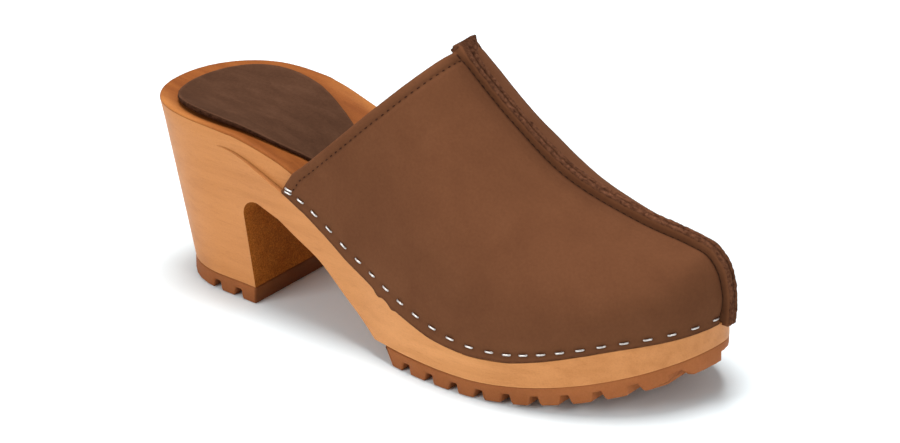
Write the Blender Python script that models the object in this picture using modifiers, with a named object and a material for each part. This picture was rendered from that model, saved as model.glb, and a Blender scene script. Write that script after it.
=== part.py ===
"""A heeled wooden clog for the right foot.

One carved wooden sole carries rubber treads under the forefoot and the heel, a leather heel pad on top,
and a leather upper of two halves whose outward seam runs down the middle to the toe. Staples hold the upper.
Lengths are metres, +X points to the toe, +Y to the inner (medial) side of the foot and +Z up.
"""
import math

import bmesh
import bpy
import numpy as np
from mathutils import Matrix, Vector

MM = 0.001
RIGHT_ANGLE = math.pi / 2

# Driving dimensions
SOLE_LENGTH = 240.2 * MM
BALL_WIDTH = 90.6 * MM
HEEL_HEIGHT = 70.4 * MM
INSTEP_HEIGHT = 112.1 * MM
OUTSOLE = 6.9 * MM
TOE_SPRING = 13.6 * MM
WALL = 1.9 * MM
GAP = 0.3 * MM

# Building aids
WELD = 0.05 * MM
CUTTER_MARGIN = 60.0 * MM
SHARP_ANGLE = math.radians(35)
EDGE_PATH_FINER = 4

# Plan outline of the wooden sole: heel and toe are superellipse arcs, the waist table joins them
HEEL_ROUND = 0.159 * SOLE_LENGTH
HEEL_POWER = 2.21
BALL_AT = 0.695 * SOLE_LENGTH
TOE_INWARD = 0.116 * BALL_WIDTH
TOE_POWER_ALONG = 1.86
TOE_POWER_ACROSS = 2.01
HEEL_ARC_STEPS = 9
SIDE_STEPS = 17
TOE_ARC_STEPS = 13
END_FLAT = 0.05

# Side view of the wooden sole
BREAST_AT = 57.3 * MM
BREAST_TOP_AT = 54.0 * MM
ARCH_RADIUS = 6.5 * MM
ARCH_TOP = 43.8 * MM
ARCH_STEPS = 8
SPRING_FROM = 160.0 * MM
SPRING_STEPS = 12
BACK_LEAN = 0.266
SIDE_TAPER_BREAST = 0.182
SIDE_TAPER_BACK = 0.252
TAPER_END = 125.0 * MM
RIM_ROUND = 1.0 * MM
REBATE = 1.9 * MM
REBATE_START = 43.0 * MM
REBATE_STEP = 0.5 * MM
REBATE_STEP_RUN = 2.5 * MM
REBATE_RAMP = 26.0 * MM
REBATE_END_SLANT = 4.0 * MM
LEDGE_ROUND = 0.2 * MM
SEAT_POWER = 2.4
SEAT_REACHES = (0.0, 0.35, 0.62, 0.84, 1.0)
WAIST_LINE_STEPS = 15

# Rubber treads
TREAD_DEPTH = 3.6 * MM
GROOVE_TOP = 2.8 * MM
GROOVE_MIDDLE = 3.8 * MM
GROOVE_MOUTH = 5.0 * MM
GROOVE_FLARE = 1.0 * MM
FORE_TREAD_FROM = 126.6 * MM
FORE_TREAD_CHAMFER = 4.4 * MM
TOE_NOTCH = 3.4 * MM
TOE_NOTCH_TURN = math.radians(36)
FORE_GROOVE_FIRST = 138.0 * MM
FORE_GROOVE_PITCH = 11.7 * MM
FORE_GROOVE_CLOSING = 0.1 * MM
FORE_GROOVES = 10
HEEL_GROOVE_FIRST = 37.0 * MM
HEEL_GROOVE_PITCH = 11.0 * MM
HEEL_GROOVES = 2

# Leather upper
PROUD = 0.3 * MM
CORNER_AT = 72.5 * MM
COLLAR_SLOPE = 0.53
COLLAR_BOW = 0.95
SKIRT_LEAN_POWER = 4
SKIRT_OVER_RIM = 1.2 * MM
HEM = 7.0 * MM
HEM_STEP = 0.7 * MM
HEM_THICKNESS = 3.0 * MM
HEM_COLUMNS = 3
HEM_FROM_ROW = 4
UPPER_COLUMNS = 30
UPPER_TOE_CROWDING = 1.2
UPPER_ROWS = 9
SEAM_HALF_WIDTH = 2.05 * MM
SEAM_FLARE = 0.8 * MM
SEAM_FLARE_RUN = 9.0 * MM
SEAM_HEIGHT = 3.8 * MM
SEAM_END_HEIGHT = 2.6 * MM
SEAM_END_RUN = 6.0 * MM
SEAM_SUNK = 1.2 * MM
SEAM_GROOVE = 0.7 * MM
SEAM_SETBACK = 0.2 * MM
SEAM_OVERHANG = 1.0 * MM
SEAM_POINTS = 400
SEAM_RINGS = 42
SEAM_TOE_Y = 1.15 * TOE_INWARD

# Heel pad, an egg in plan whose axis leans to the lateral side
PAD_BACK = 7.2 * MM
PAD_LENGTH = 93.8 * MM
PAD_HALF_WIDTH = 24.0 * MM
PAD_EGG = 0.55
PAD_INWARD = 1.7 * MM
PAD_LEAN = -0.044
PAD_THICKNESS = 1.2 * MM
PAD_GAP = 0.3 * MM
PAD_STEPS = 40
PAD_SPINE_FROM = 0.2
PAD_SPINE_TO = 0.85
PAD_REACHES = (0.0, 0.5, 1.0)

# Staples
STAPLES_PER_SIDE = 25
STAPLE_LENGTH = 3.4 * MM
STAPLE_WIDTH = 0.9 * MM
STAPLE_THICKNESS = 0.6 * MM
STAPLE_FIRST = 5.3 * MM
STAPLE_LAST = 6.0 * MM
DOUBLE_STAPLE_STEP = 1.3 * MM


def table(names, *rows):
    """A small table: column name to array."""
    return dict(zip(names.split(), np.array(rows, float).T))


# Half-widths of the waist as shares of BALL_WIDTH, along as a share of SOLE_LENGTH
WAIST = table(
    "along lateral medial",
    (0.159, 0.352, 0.376),
    (0.291, 0.361, 0.377),
    (0.402, 0.375, 0.389),
    (0.458, 0.390, 0.397),
    (0.521, 0.434, 0.418),
    (0.583, 0.471, 0.456),
    (0.645, 0.493, 0.489),
    (0.695, 0.498, 0.502),
)

# Heights of the sole's top edge and of the rebate's ledge, as shares of HEEL_HEIGHT
PROFILE = table(
    "along rim ledge",
    (0.000, 1.000, 0.881),
    (0.091, 1.010, 0.892),
    (0.187, 0.993, 0.889),
    (0.291, 0.906, 0.767),
    (0.346, 0.828, 0.678),
    (0.396, 0.741, 0.578),
    (0.449, 0.636, 0.462),
    (0.513, 0.516, 0.378),
    (0.571, 0.433, 0.310),
    (0.633, 0.384, 0.256),
    (0.699, 0.361, 0.236),
    (0.754, 0.369, 0.246),
    (0.816, 0.409, 0.286),
    (0.870, 0.457, 0.334),
    (0.920, 0.500, 0.376),
    (1.000, 0.534, 0.411),
)

# Depth of the foot's bed under the rim, as a share of HEEL_HEIGHT
SEAT = table(
    "along depth",
    (0.00, 0.050),
    (0.25, 0.050),
    (0.50, 0.055),
    (0.80, 0.045),
    (1.00, 0.030),
)

# Lower edge of the waist from the arch down to the forefoot, as shares of SOLE_LENGTH and HEEL_HEIGHT
WAIST_LINE = table(
    "along height",
    (0.300, 0.572),
    (0.337, 0.501),
    (0.379, 0.426),
    (0.437, 0.266),
    (0.503, 0.106),
)

# Middle line of the upper under its raised seam, as shares of SOLE_LENGTH, INSTEP_HEIGHT and TOE_INWARD
SEAM = table(
    "row along height inward",
    (0, 0.547, 1.000, 0.00),
    (1, 0.645, 0.809, 0.12),
    (2, 0.753, 0.643, 0.32),
    (3, 0.875, 0.547, 0.68),
    (4, 0.939, 0.510, 0.94),
    (5, 0.974, 0.483, 1.06),
    (6, 0.994, 0.417, 1.13),
    (7, 1.000, 0.346, 1.15),
)

# Sections of the upper, collar to toe: seam and edge are shares along its middle line and its lower edge,
# power is the section's roundness, bulge its outward swell as a share of BALL_WIDTH, and level is 0 where
# the section rises with the slanted collar and 1 where it is level
SECTIONS = table(
    "seam edge power bulge level",
    (0.00, 0.00, 2.38, 0.006, 0.0),
    (0.11, 0.15, 2.48, 0.009, 0.1),
    (0.33, 0.35, 2.54, 0.010, 0.4),
    (0.55, 0.55, 2.09, 0.006, 0.8),
    (0.76, 0.75, 1.90, 0.005, 1.0),
    (0.91, 0.90, 2.20, 0.002, 1.0),
    (1.00, 1.00, 2.20, 0.000, 1.0),
)

# The row of staples: its height over the upper's lower edge in millimetres and the relative step to the next
# staple, along as a share of the row
STAPLE_ROW = table(
    "along over_edge step",
    (0.00, 1.3, 0.030),
    (0.07, 4.3, 0.040),
    (0.35, 5.5, 0.041),
    (0.46, 4.1, 0.041),
    (0.54, 3.4, 0.031),
    (0.61, 3.0, 0.034),
    (0.80, 2.5, 0.044),
    (1.00, 2.7, 0.056),
)

# Colour (linear red, green, blue), roughness and metallic value
WOOD_LOOK = ((0.62, 0.32, 0.12), 0.45, 0.0)
RUBBER_LOOK = ((0.30, 0.105, 0.035), 0.5, 0.0)
LEATHER_LOOK = ((0.155, 0.062, 0.030), 0.85, 0.0)
PAD_LOOK = ((0.115, 0.055, 0.034), 0.7, 0.0)
STEEL_LOOK = ((0.75, 0.74, 0.72), 0.3, 1.0)

SIDES = {"lateral": -1.0, "medial": 1.0}


def smooth(rows, column, at):
    """One column of a table at the given places, as a curve that never overshoots its rows."""
    x = rows[next(iter(rows))]
    y = rows[column]
    step = np.diff(x)
    slope = np.diff(y) / step
    tangent = np.zeros_like(y)
    tangent[0] = slope[0]
    tangent[-1] = slope[-1]
    for i in range(1, len(x) - 1):
        if slope[i - 1] * slope[i] > 0:
            before = 2 * step[i] + step[i - 1]
            after = step[i] + 2 * step[i - 1]
            tangent[i] = (before + after) / (before / slope[i - 1] + after / slope[i])
    at = np.clip(np.asarray(at, float), x[0], x[-1])
    i = np.clip(np.searchsorted(x, at, side="right") - 1, 0, len(x) - 2)
    t = (at - x[i]) / step[i]
    rise = y[i] * (1 + 2 * t) * (1 - t) ** 2 + y[i + 1] * t * t * (3 - 2 * t)
    return rise + step[i] * (tangent[i] * t * (1 - t) ** 2 + tangent[i + 1] * t * t * (t - 1))


def ease(t):
    """A soft step from 0 to 1."""
    t = min(1.0, max(0.0, t))
    return t * t * (3 - 2 * t)


def rim_height(x):
    return HEEL_HEIGHT * smooth(PROFILE, "rim", x / SOLE_LENGTH)


def ledge_height(x):
    return HEEL_HEIGHT * smooth(PROFILE, "ledge", x / SOLE_LENGTH)


def toe_lift(x):
    """How far the toe spring raises the sole at x."""
    run = max(0.0, (x - SPRING_FROM) / (SOLE_LENGTH - SPRING_FROM))
    return TOE_SPRING * run * run


def outline_y(x, side):
    """The wooden sole's edge at x, on the lateral or the medial side."""
    sign = SIDES[side]
    if x < HEEL_ROUND:
        turn = (HEEL_ROUND - x) / HEEL_ROUND
        width = BALL_WIDTH * WAIST[side][0]
        return sign * width * (1 - turn ** HEEL_POWER) ** (1 / HEEL_POWER)
    if x < BALL_AT:
        return sign * BALL_WIDTH * float(smooth(WAIST, side, x / SOLE_LENGTH))
    turn = min(1.0, (x - BALL_AT) / (SOLE_LENGTH - BALL_AT))
    ball = sign * BALL_WIDTH * WAIST[side][-1]
    share = (1 - turn ** TOE_POWER_ALONG) ** (1 / TOE_POWER_ACROSS)
    return TOE_INWARD + (ball - TOE_INWARD) * share


def toe_x(angle):
    """Place along the sole for an angle of the toe's arc, 0 at the ball and a right angle at the tip."""
    return BALL_AT + (SOLE_LENGTH - BALL_AT) * math.sin(angle) ** (2 / TOE_POWER_ALONG)


def heel_x(angle):
    """Place along the sole for an angle of the heel's arc, 0 at the back."""
    return HEEL_ROUND * (1 - math.cos(angle) ** (2 / HEEL_POWER))


def stations():
    """Places along the sole, back to tip, closer together where the outline turns."""
    heel = [heel_x(a) for a in np.linspace(END_FLAT, RIGHT_ANGLE, HEEL_ARC_STEPS)]
    side = list(np.linspace(HEEL_ROUND, BALL_AT, SIDE_STEPS))
    toe = [toe_x(a) for a in np.linspace(0, RIGHT_ANGLE - END_FLAT, TOE_ARC_STEPS)]
    return heel + side[1:-1] + toe


def closed_outline(places):
    """The outline as a closed loop of points, forward on the lateral side and back on the medial one."""
    forward = [(x, outline_y(x, "lateral")) for x in places]
    back = [(x, outline_y(x, "medial")) for x in reversed(places)]
    return np.array(forward + back)


def outward(loop):
    """Unit normals of a closed plan loop, pointing out of it."""
    run = np.roll(loop, -1, axis=0) - np.roll(loop, 1, axis=0)
    normal = np.column_stack([run[:, 1], -run[:, 0]])
    return normal / np.linalg.norm(normal, axis=1)[:, None]


def side_at(point, z):
    """A point of the outline taken down to height z: the heel leans in all round, the waist a little."""
    x, y = point
    leather = ease((x - REBATE_START) / (CORNER_AT - REBATE_START))
    start = rim_height(x) + (ledge_height(x) - rim_height(x)) * leather
    share = max(0.0, start - z) / HEEL_HEIGHT
    if x < BREAST_AT:
        toward_back = 1 - x / BREAST_AT
        side = SIDE_TAPER_BREAST + (SIDE_TAPER_BACK - SIDE_TAPER_BREAST) * toward_back
        return BREAST_AT - (BREAST_AT - x) * (1 - BACK_LEAN * share), y * (1 - side * share)
    fade = 1 - ease((x - BREAST_AT) / (TAPER_END - BREAST_AT))
    return x, y * (1 - SIDE_TAPER_BREAST * fade * share)


def rebate_depth(x, slant):
    """Depth of the rebate that takes the leather: none at the heel, a shallow step, then a long ramp."""
    run = x - REBATE_START - slant
    return REBATE_STEP * ease(run / REBATE_STEP_RUN) + (REBATE - REBATE_STEP) * ease(run / REBATE_RAMP)


def ring(points, heights):
    return np.column_stack([points, heights])


def new_object(name, bm, look, collection):
    """A smooth-shaded object from bm with its own material."""
    bmesh.ops.recalc_face_normals(bm, faces=bm.faces)
    mesh = bpy.data.meshes.new(name)
    bm.to_mesh(mesh)
    bm.free()
    piece = bpy.data.objects.new(name, mesh)
    collection.objects.link(piece)
    if look:
        mesh.materials.append(material(name, look))
        mesh.shade_smooth()
        mesh.set_sharp_from_angle(angle=SHARP_ANGLE)
    return piece


def material(name, look):
    colour, roughness, metallic = look
    made = bpy.data.materials.new(name)
    made.use_nodes = True
    shader = made.node_tree.nodes["Principled BSDF"]
    shader.inputs["Base Color"].default_value = (*colour, 1.0)
    shader.inputs["Roughness"].default_value = roughness
    shader.inputs["Metallic"].default_value = metallic
    return made


def loft(rings, cap_first=True, cap_last=True):
    """A skin over closed rings of equal count, with flat caps."""
    bm = bmesh.new()
    made = [[bm.verts.new(p) for p in row] for row in rings]
    count = len(made[0])
    for low, high in zip(made, made[1:]):
        for i in range(count):
            j = (i + 1) % count
            bm.faces.new((low[i], low[j], high[j], high[i]))
    if cap_first:
        bm.faces.new(list(reversed(made[0])))
    if cap_last:
        bm.faces.new(made[-1])
    return bm


def prism(profile, half_width):
    """A closed profile in the X-Z plane, extruded both ways along Y."""
    rings = [[(x, y, z) for x, z in profile] for y in (-half_width, half_width)]
    return loft(rings)


def cut(piece, name, bm, cutters):
    """Cut the closed body bm out of piece."""
    cutter = new_object(name, bm, None, cutters)
    cutter.hide_render = True
    cutter.display_type = "WIRE"
    change = piece.modifiers.new(name, "BOOLEAN")
    change.operation = "DIFFERENCE"
    change.solver = "EXACT"
    change.object = cutter


def underside():
    """The sole's lower profile in side view: heel base, breast, rounded arch, waist and sprung forefoot."""
    base = OUTSOLE + GAP
    middle_x = BREAST_TOP_AT + ARCH_RADIUS
    middle_z = ARCH_TOP - ARCH_RADIUS
    run_x = WAIST_LINE["along"][0] * SOLE_LENGTH - middle_x
    run_z = WAIST_LINE["height"][0] * HEEL_HEIGHT - middle_z
    last = math.atan2(run_z, run_x) + math.acos(min(1.0, ARCH_RADIUS / math.hypot(run_x, run_z)))
    points = [(-CUTTER_MARGIN, base), (BREAST_AT, base)]
    for angle in np.linspace(math.pi, last, ARCH_STEPS):
        points.append((middle_x + ARCH_RADIUS * math.cos(angle), middle_z + ARCH_RADIUS * math.sin(angle)))
    shares = np.linspace(WAIST_LINE["along"][0], WAIST_LINE["along"][-1], WAIST_LINE_STEPS)
    points += [(s * SOLE_LENGTH, HEEL_HEIGHT * float(smooth(WAIST_LINE, "height", s))) for s in shares]
    for x in np.linspace(SPRING_FROM, SOLE_LENGTH + REBATE, SPRING_STEPS):
        points.append((x, base + toe_lift(x)))
    return points


def seat_height(x, reach):
    """The foot's bed at x, where reach is 0 on its middle line and 1 at the rim."""
    depth = HEEL_HEIGHT * smooth(SEAT, "depth", x / SOLE_LENGTH)
    return rim_height(x) - depth * (1 - reach ** SEAT_POWER)


def spine(point):
    """The middle of the sole that a point of its outline faces."""
    x = min(max(point[0], HEEL_ROUND), SOLE_LENGTH - HEEL_ROUND)
    return np.array([x, (outline_y(x, "lateral") + outline_y(x, "medial")) / 2])


def make_wood_sole(parts, cutters):
    loop = closed_outline(stations())
    normal = outward(loop)
    x = loop[:, 0]
    middle = np.array([spine(p) for p in loop])
    at_rim = loop - normal * np.array([rebate_depth(v, REBATE_END_SLANT) for v in x])[:, None]
    at_ledge = loop - normal * np.array([rebate_depth(v, 0.0) for v in x])[:, None]
    top = at_rim - normal * RIM_ROUND
    rings = []
    for reach in SEAT_REACHES:
        points = middle + (top - middle) * reach
        rings.append(ring(points, seat_height(points[:, 0], reach)))
    ledge = ledge_height(x)
    rings.append(ring(at_rim, rim_height(x) - RIM_ROUND))
    for points, z in ((at_ledge, ledge + LEDGE_ROUND), (loop, ledge - LEDGE_ROUND)):
        rings.append(ring([side_at(p, h) for p, h in zip(points, z)], z))
    floor = np.full(len(x), OUTSOLE / 2)
    rings.append(ring([side_at(p, z) for p, z in zip(loop, floor)], floor))
    bm = loft(rings, cap_first=False)
    bmesh.ops.remove_doubles(bm, verts=bm.verts, dist=WELD)
    wood = new_object("wood_sole", bm, WOOD_LOOK, parts)
    profile = underside()
    below = [(profile[-1][0], -OUTSOLE), (profile[0][0], -OUTSOLE)]
    cut(wood, "cut_underside", prism(profile + below, BALL_WIDTH), cutters)
    return wood


def tread(name, places, top, bottom, parts):
    """A rubber slab under the sole, between two height functions of x, flush with the wood's side."""
    loop = closed_outline(places)
    plan = [side_at(p, top(p[0])) for p in loop]
    low = [(x, y, bottom(x)) for x, y in plan]
    high = [(x, y, top(x)) for x, y in plan]
    bm = bmesh.new()
    half = len(loop) // 2
    rows = [[bm.verts.new(p) for p in row] for row in (low, high)]
    count = len(loop)
    for i in range(count):
        j = (i + 1) % count
        bm.faces.new((rows[0][i], rows[0][j], rows[1][j], rows[1][i]))
    for i in range(half - 1):
        for row in rows:
            bm.faces.new((row[i], row[i + 1], row[count - 2 - i], row[count - 1 - i]))
    return new_object(name, bm, RUBBER_LOOK, parts)


def groove(x, lift, slope):
    """Profile of one cross groove in the tread, with flared mouth, tilted to the tread's slope."""
    half = [(GROOVE_TOP, TREAD_DEPTH), (GROOVE_MIDDLE, GROOVE_FLARE), (GROOVE_MOUTH, 0), (GROOVE_MOUTH, -OUTSOLE)]
    local = [(w / 2, z) for w, z in half] + [(-w / 2, z) for w, z in reversed(half)]
    c = math.cos(slope)
    s = math.sin(slope)
    return [(x + u * c - v * s, lift + u * s + v * c) for u, v in local]


def toe_notch():
    """A block that ends the last bar short of the toe's inner front, as deep as the grooves."""
    ahead = np.array([math.cos(TOE_NOTCH_TURN), math.sin(TOE_NOTCH_TURN)])
    aside = np.array([-ahead[1], ahead[0]])
    loop = closed_outline(stations())
    front = loop[np.argmax(loop @ ahead)]
    slope = (toe_lift(front[0]) - toe_lift(front[0] - MM)) / MM
    near, far = -TOE_NOTCH, CUTTER_MARGIN
    block = ((near, -far), (far, -far), (far, far), (near, far))
    plan = [front + ahead * u + aside * v for u, v in block]
    roof = toe_lift(front[0]) + TREAD_DEPTH
    low = [(x, y, -CUTTER_MARGIN) for x, y in plan]
    high = [(x, y, roof + slope * (x - front[0])) for x, y in plan]
    return loft([low, high])


def make_forefoot_outsole(parts, cutters):
    places = list(np.linspace(FORE_TREAD_FROM, BALL_AT, SIDE_STEPS // 2))[:-1]
    places += [toe_x(a) for a in np.linspace(0, RIGHT_ANGLE - END_FLAT, TOE_ARC_STEPS)]
    piece = tread("forefoot_outsole", places, lambda x: OUTSOLE + toe_lift(x), toe_lift, parts)
    back = FORE_TREAD_FROM - GAP
    chamfer = [(back, OUTSOLE), (back, -OUTSOLE), (back + 2 * FORE_TREAD_CHAMFER, -OUTSOLE)]
    cut(piece, "cut_forefoot_back", prism(chamfer, BALL_WIDTH), cutters)
    cut(piece, "cut_forefoot_toe", toe_notch(), cutters)
    for i in range(FORE_GROOVES):
        x = FORE_GROOVE_FIRST + i * FORE_GROOVE_PITCH - i * i * FORE_GROOVE_CLOSING
        slope = math.atan2(toe_lift(x + MM) - toe_lift(x - MM), 2 * MM)
        cut(piece, f"cut_forefoot_groove_{i + 1}", prism(groove(x, toe_lift(x), slope), BALL_WIDTH), cutters)
    return piece


def make_heel_lift(parts, cutters):
    places = [heel_x(a) for a in np.linspace(END_FLAT, RIGHT_ANGLE, HEEL_ARC_STEPS)] + [BREAST_AT]
    piece = tread("heel_lift", places, lambda x: OUTSOLE, lambda x: 0.0, parts)
    for i in range(HEEL_GROOVES):
        x = HEEL_GROOVE_FIRST + i * HEEL_GROOVE_PITCH
        cut(piece, f"cut_heel_groove_{i + 1}", prism(groove(x, 0.0, 0.0), BALL_WIDTH), cutters)
    return piece


def shares_of(points):
    """Distance along a polyline at each of its points, as shares of its length."""
    run = np.linalg.norm(np.diff(points, axis=0), axis=1)
    along = np.concatenate([[0.0], np.cumsum(run)])
    return along / along[-1], along[-1]


def along_path(points, shares):
    """Points at the given shares of a polyline's length."""
    at, _ = shares_of(points)
    return np.column_stack([np.interp(shares, at, points[:, k]) for k in range(points.shape[1])])


def edge_path(side):
    """Plan path of the upper's outer face at its lower edge, corner of the collar to the toe's middle."""
    places = list(np.linspace(CORNER_AT, BALL_AT, EDGE_PATH_FINER * SIDE_STEPS))[:-1]
    places += [toe_x(a) for a in np.linspace(0, RIGHT_ANGLE, EDGE_PATH_FINER * TOE_ARC_STEPS)]
    outline = [(x, outline_y(x, side)) for x in places]
    before_seam = [(x, y) for x, y in outline if (y - SEAM_TOE_Y) * SIDES[side] > 0]
    points = np.array(before_seam + [(SOLE_LENGTH, SEAM_TOE_Y)])
    run = np.gradient(points, axis=0)
    normal = np.column_stack([run[:, 1], -run[:, 0]]) * -SIDES[side]
    normal /= np.linalg.norm(normal, axis=1)[:, None]
    normal[-1] = (1.0, 0.0)
    return points + PROUD * normal


def seam_path():
    """The middle line of the upper's outer face, collar to toe."""
    rows = SEAM["row"]
    row = np.linspace(rows[0], rows[-1], SEAM_POINTS)
    x = (SOLE_LENGTH + PROUD) * smooth(SEAM, "along", row)
    y = TOE_INWARD * smooth(SEAM, "inward", row)
    z = INSTEP_HEIGHT * smooth(SEAM, "height", row)
    return np.column_stack([x, y, z])


def upper_columns():
    """Shares of the middle line at the upper's columns of points, closer together at the hem and the toe."""
    _, length = shares_of(seam_path())
    hem = HEM / length
    step = HEM_STEP / length
    rest = 1 - (1 - hem - step) * np.linspace(1, 0, UPPER_COLUMNS) ** UPPER_TOE_CROWDING
    return np.concatenate([[0.0, hem / 2, hem], rest])


def half_upper(side, columns):
    """Columns of points of one half of the upper, from its lower edge up to the middle line."""
    base = along_path(edge_path(side), smooth(SECTIONS, "edge", columns))
    top = along_path(seam_path(), columns)
    power = smooth(SECTIONS, "power", columns)
    bulge = BALL_WIDTH * smooth(SECTIONS, "bulge", columns) * SIDES[side]
    level = smooth(SECTIONS, "level", columns)
    half = []
    for i in range(len(columns)):
        x, y = base[i]
        low = ledge_height(x) + LEDGE_ROUND + GAP
        lean = COLLAR_SLOPE * (1 - level[i]) ** SKIRT_LEAN_POWER
        skirt_x = x + lean * (rim_height(x) + SKIRT_OVER_RIM - low)
        skirt_y = y + outline_y(skirt_x, side) - outline_y(x, side)
        skirt_z = rim_height(skirt_x) + SKIRT_OVER_RIM
        column = [(x, y, low), ((x + skirt_x) / 2, (y + skirt_y) / 2, (low + skirt_z) / 2)]
        goal = top[i]
        for angle in np.linspace(0, RIGHT_ANGLE, UPPER_ROWS):
            across = 1 - math.cos(angle) ** (2 / power[i])
            rise = math.sin(angle) ** (2 / power[i])
            bowed = rise ** COLLAR_BOW
            along = bowed + (across - bowed) * level[i]
            column.append((
                skirt_x + (goal[0] - skirt_x) * along,
                skirt_y + (goal[1] - skirt_y) * across + bulge[i] * math.sin(math.pi * rise),
                skirt_z + (goal[2] - skirt_z) * rise,
            ))
        half.append(column)
    return half


def make_upper(parts, cutters):
    columns = upper_columns()
    halves = [half_upper(side, columns) for side in ("lateral", "medial")]
    bm = bmesh.new()
    thick = []
    for half in halves:
        made = [[bm.verts.new(p) for p in column] for column in half]
        for a, b in zip(made, made[1:]):
            for k in range(len(a) - 1):
                bm.faces.new((a[k], b[k], b[k + 1], a[k + 1]))
        thick += [v for column in made[:HEM_COLUMNS] for v in column[HEM_FROM_ROW:]]
    for v in thick:
        v.tag = True
    bmesh.ops.remove_doubles(bm, verts=bm.verts, dist=WELD)
    bmesh.ops.dissolve_degenerate(bm, dist=WELD, edges=bm.edges)
    bm.verts.index_update()
    hem = [v.index for v in bm.verts if v.tag]
    rest = [v.index for v in bm.verts if not v.tag]
    upper = new_object("upper", bm, LEATHER_LOOK, parts)
    group = upper.vertex_groups.new(name="thickness")
    group.add(hem, 1.0, "REPLACE")
    group.add(rest, WALL / HEM_THICKNESS, "REPLACE")
    shell = upper.modifiers.new("wall", "SOLIDIFY")
    shell.thickness = HEM_THICKNESS
    shell.offset = -1.0
    shell.use_even_offset = True
    shell.vertex_group = group.name
    ridge = new_object("seam_ridge", seam_ridge(halves[0]), None, cutters)
    ridge.hide_render = True
    ridge.display_type = "WIRE"
    join = upper.modifiers.new("seam_ridge", "BOOLEAN")
    join.operation = "UNION"
    join.solver = "EXACT"
    join.object = ridge
    return upper


def seam_ridge(half):
    """The two raw edges that stand out along the middle line, from past the collar to the lower edge at the toe."""
    path = np.array([column[-1] for column in half] + [half[-1][1], half[-1][0]])
    back = path[0] - path[1]
    past_collar = path[0] + back * SEAM_OVERHANG / np.linalg.norm(back)
    path = np.concatenate([[past_collar], path])
    _, length = shares_of(path)
    shares = np.linspace(0, 1 - SEAM_SETBACK / length, SEAM_RINGS)
    points = along_path(path, shares)
    rings = []
    for i, point in enumerate(points):
        run = points[min(i + 1, SEAM_RINGS - 1)] - points[max(i - 1, 0)]
        run /= np.linalg.norm(run)
        out = np.cross((0.0, -1.0, 0.0), run)
        out /= np.linalg.norm(out)
        wide = np.cross(out, run)
        to_end = ease((1 - shares[i]) * length / SEAM_END_RUN)
        high = SEAM_END_HEIGHT + (SEAM_HEIGHT - SEAM_END_HEIGHT) * to_end
        half_width = SEAM_HALF_WIDTH + SEAM_FLARE * (1 - ease(shares[i] * length / SEAM_FLARE_RUN))
        section = (
            (-half_width, -SEAM_SUNK),
            (-half_width, high),
            (-SEAM_GROOVE, high),
            (0.0, high - 2 * SEAM_GROOVE),
            (SEAM_GROOVE, high),
            (half_width, high),
            (half_width, -SEAM_SUNK),
        )
        rings.append([point + wide * w + out * h for w, h in section])
    return loft(rings)


def make_heel_pad(parts):
    turn = np.linspace(0, 2 * math.pi, PAD_STEPS, endpoint=False)
    x = PAD_BACK + PAD_LENGTH * (1 - np.cos(turn)) / 2
    middle = PAD_INWARD + PAD_LEAN * (x - PAD_BACK)
    y = middle - PAD_HALF_WIDTH * np.sin(turn) * (1 + PAD_EGG * np.cos(turn))
    edge = np.column_stack([x, y])
    spine_x = np.clip(x, PAD_BACK + PAD_LENGTH * PAD_SPINE_FROM, PAD_BACK + PAD_LENGTH * PAD_SPINE_TO)
    inside = np.column_stack([spine_x, middle])
    rings = []
    for lift, order in ((PAD_GAP, PAD_REACHES), (PAD_GAP + PAD_THICKNESS, reversed(PAD_REACHES))):
        for reach in order:
            points = inside + (edge - inside) * reach
            rings.append([(px, py, bed_height(px, py) + lift) for px, py in points])
    bm = loft(rings, cap_first=False, cap_last=False)
    bmesh.ops.remove_doubles(bm, verts=bm.verts, dist=WELD)
    return new_object("heel_pad", bm, PAD_LOOK, parts)


def bed_height(x, y):
    """The foot's bed at a plan point behind the ball."""
    side = "lateral" if y < 0 else "medial"
    inset = RIM_ROUND + rebate_depth(x, REBATE_END_SLANT)
    across = abs(y) / (abs(outline_y(max(x, HEEL_ROUND), side)) - inset)
    if x < HEEL_ROUND:
        turn = (HEEL_ROUND - x) / (HEEL_ROUND - RIM_ROUND)
        across = (across ** HEEL_POWER + turn ** HEEL_POWER) ** (1 / HEEL_POWER)
    return float(seat_height(x, min(1.0, across)))


def staple_spots(length):
    """Places of the staples along a row of the given length, as shares of it."""
    spots = [0.0]
    while len(spots) < STAPLES_PER_SIDE:
        spots.append(spots[-1] + float(smooth(STAPLE_ROW, "step", spots[-1])))
    first = STAPLE_FIRST / length
    last = 1 - STAPLE_LAST / length
    return first + (last - first) * np.array(spots) / spots[-1]


def make_staples(parts):
    made = []
    for side in SIDES:
        plan = edge_path(side)
        share, _ = shares_of(plan)
        over_edge = MM * smooth(STAPLE_ROW, "over_edge", share)
        path = np.column_stack([plan, ledge_height(plan[:, 0]) + over_edge])
        _, length = shares_of(path)
        spots = staple_spots(length)
        raised = [(spot, 0.0) for spot in spots] + [(spots[0], DOUBLE_STAPLE_STEP)]
        for number, (spot, raise_by) in enumerate(raised, 1):
            half = STAPLE_LENGTH / 2 / length
            ends = [Vector(p) for p in along_path(path, [spot - half, spot + half])]
            made.append(staple(f"staple_{side}_{number:02d}", side, ends, raise_by, parts))
    return made


def staple(name, side, ends, raise_by, parts):
    """The crown of one staple, lying on the leather between two points of its row."""
    run = (ends[1] - ends[0]).normalized()
    out = Vector((run.y, -run.x, 0.0)).normalized() * -SIDES[side]
    up = out.cross(run) * -SIDES[side]
    middle = (ends[0] + ends[1]) / 2 + out * (GAP + STAPLE_THICKNESS / 2) + up * raise_by
    frame = Matrix((run, out, up)).transposed().to_4x4()
    size = Matrix.Diagonal((STAPLE_LENGTH, STAPLE_THICKNESS, STAPLE_WIDTH, 1.0))
    bm = bmesh.new()
    bmesh.ops.create_cube(bm, size=1.0, matrix=Matrix.Translation(middle) @ frame @ size)
    return new_object(name, bm, STEEL_LOOK, parts)


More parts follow.
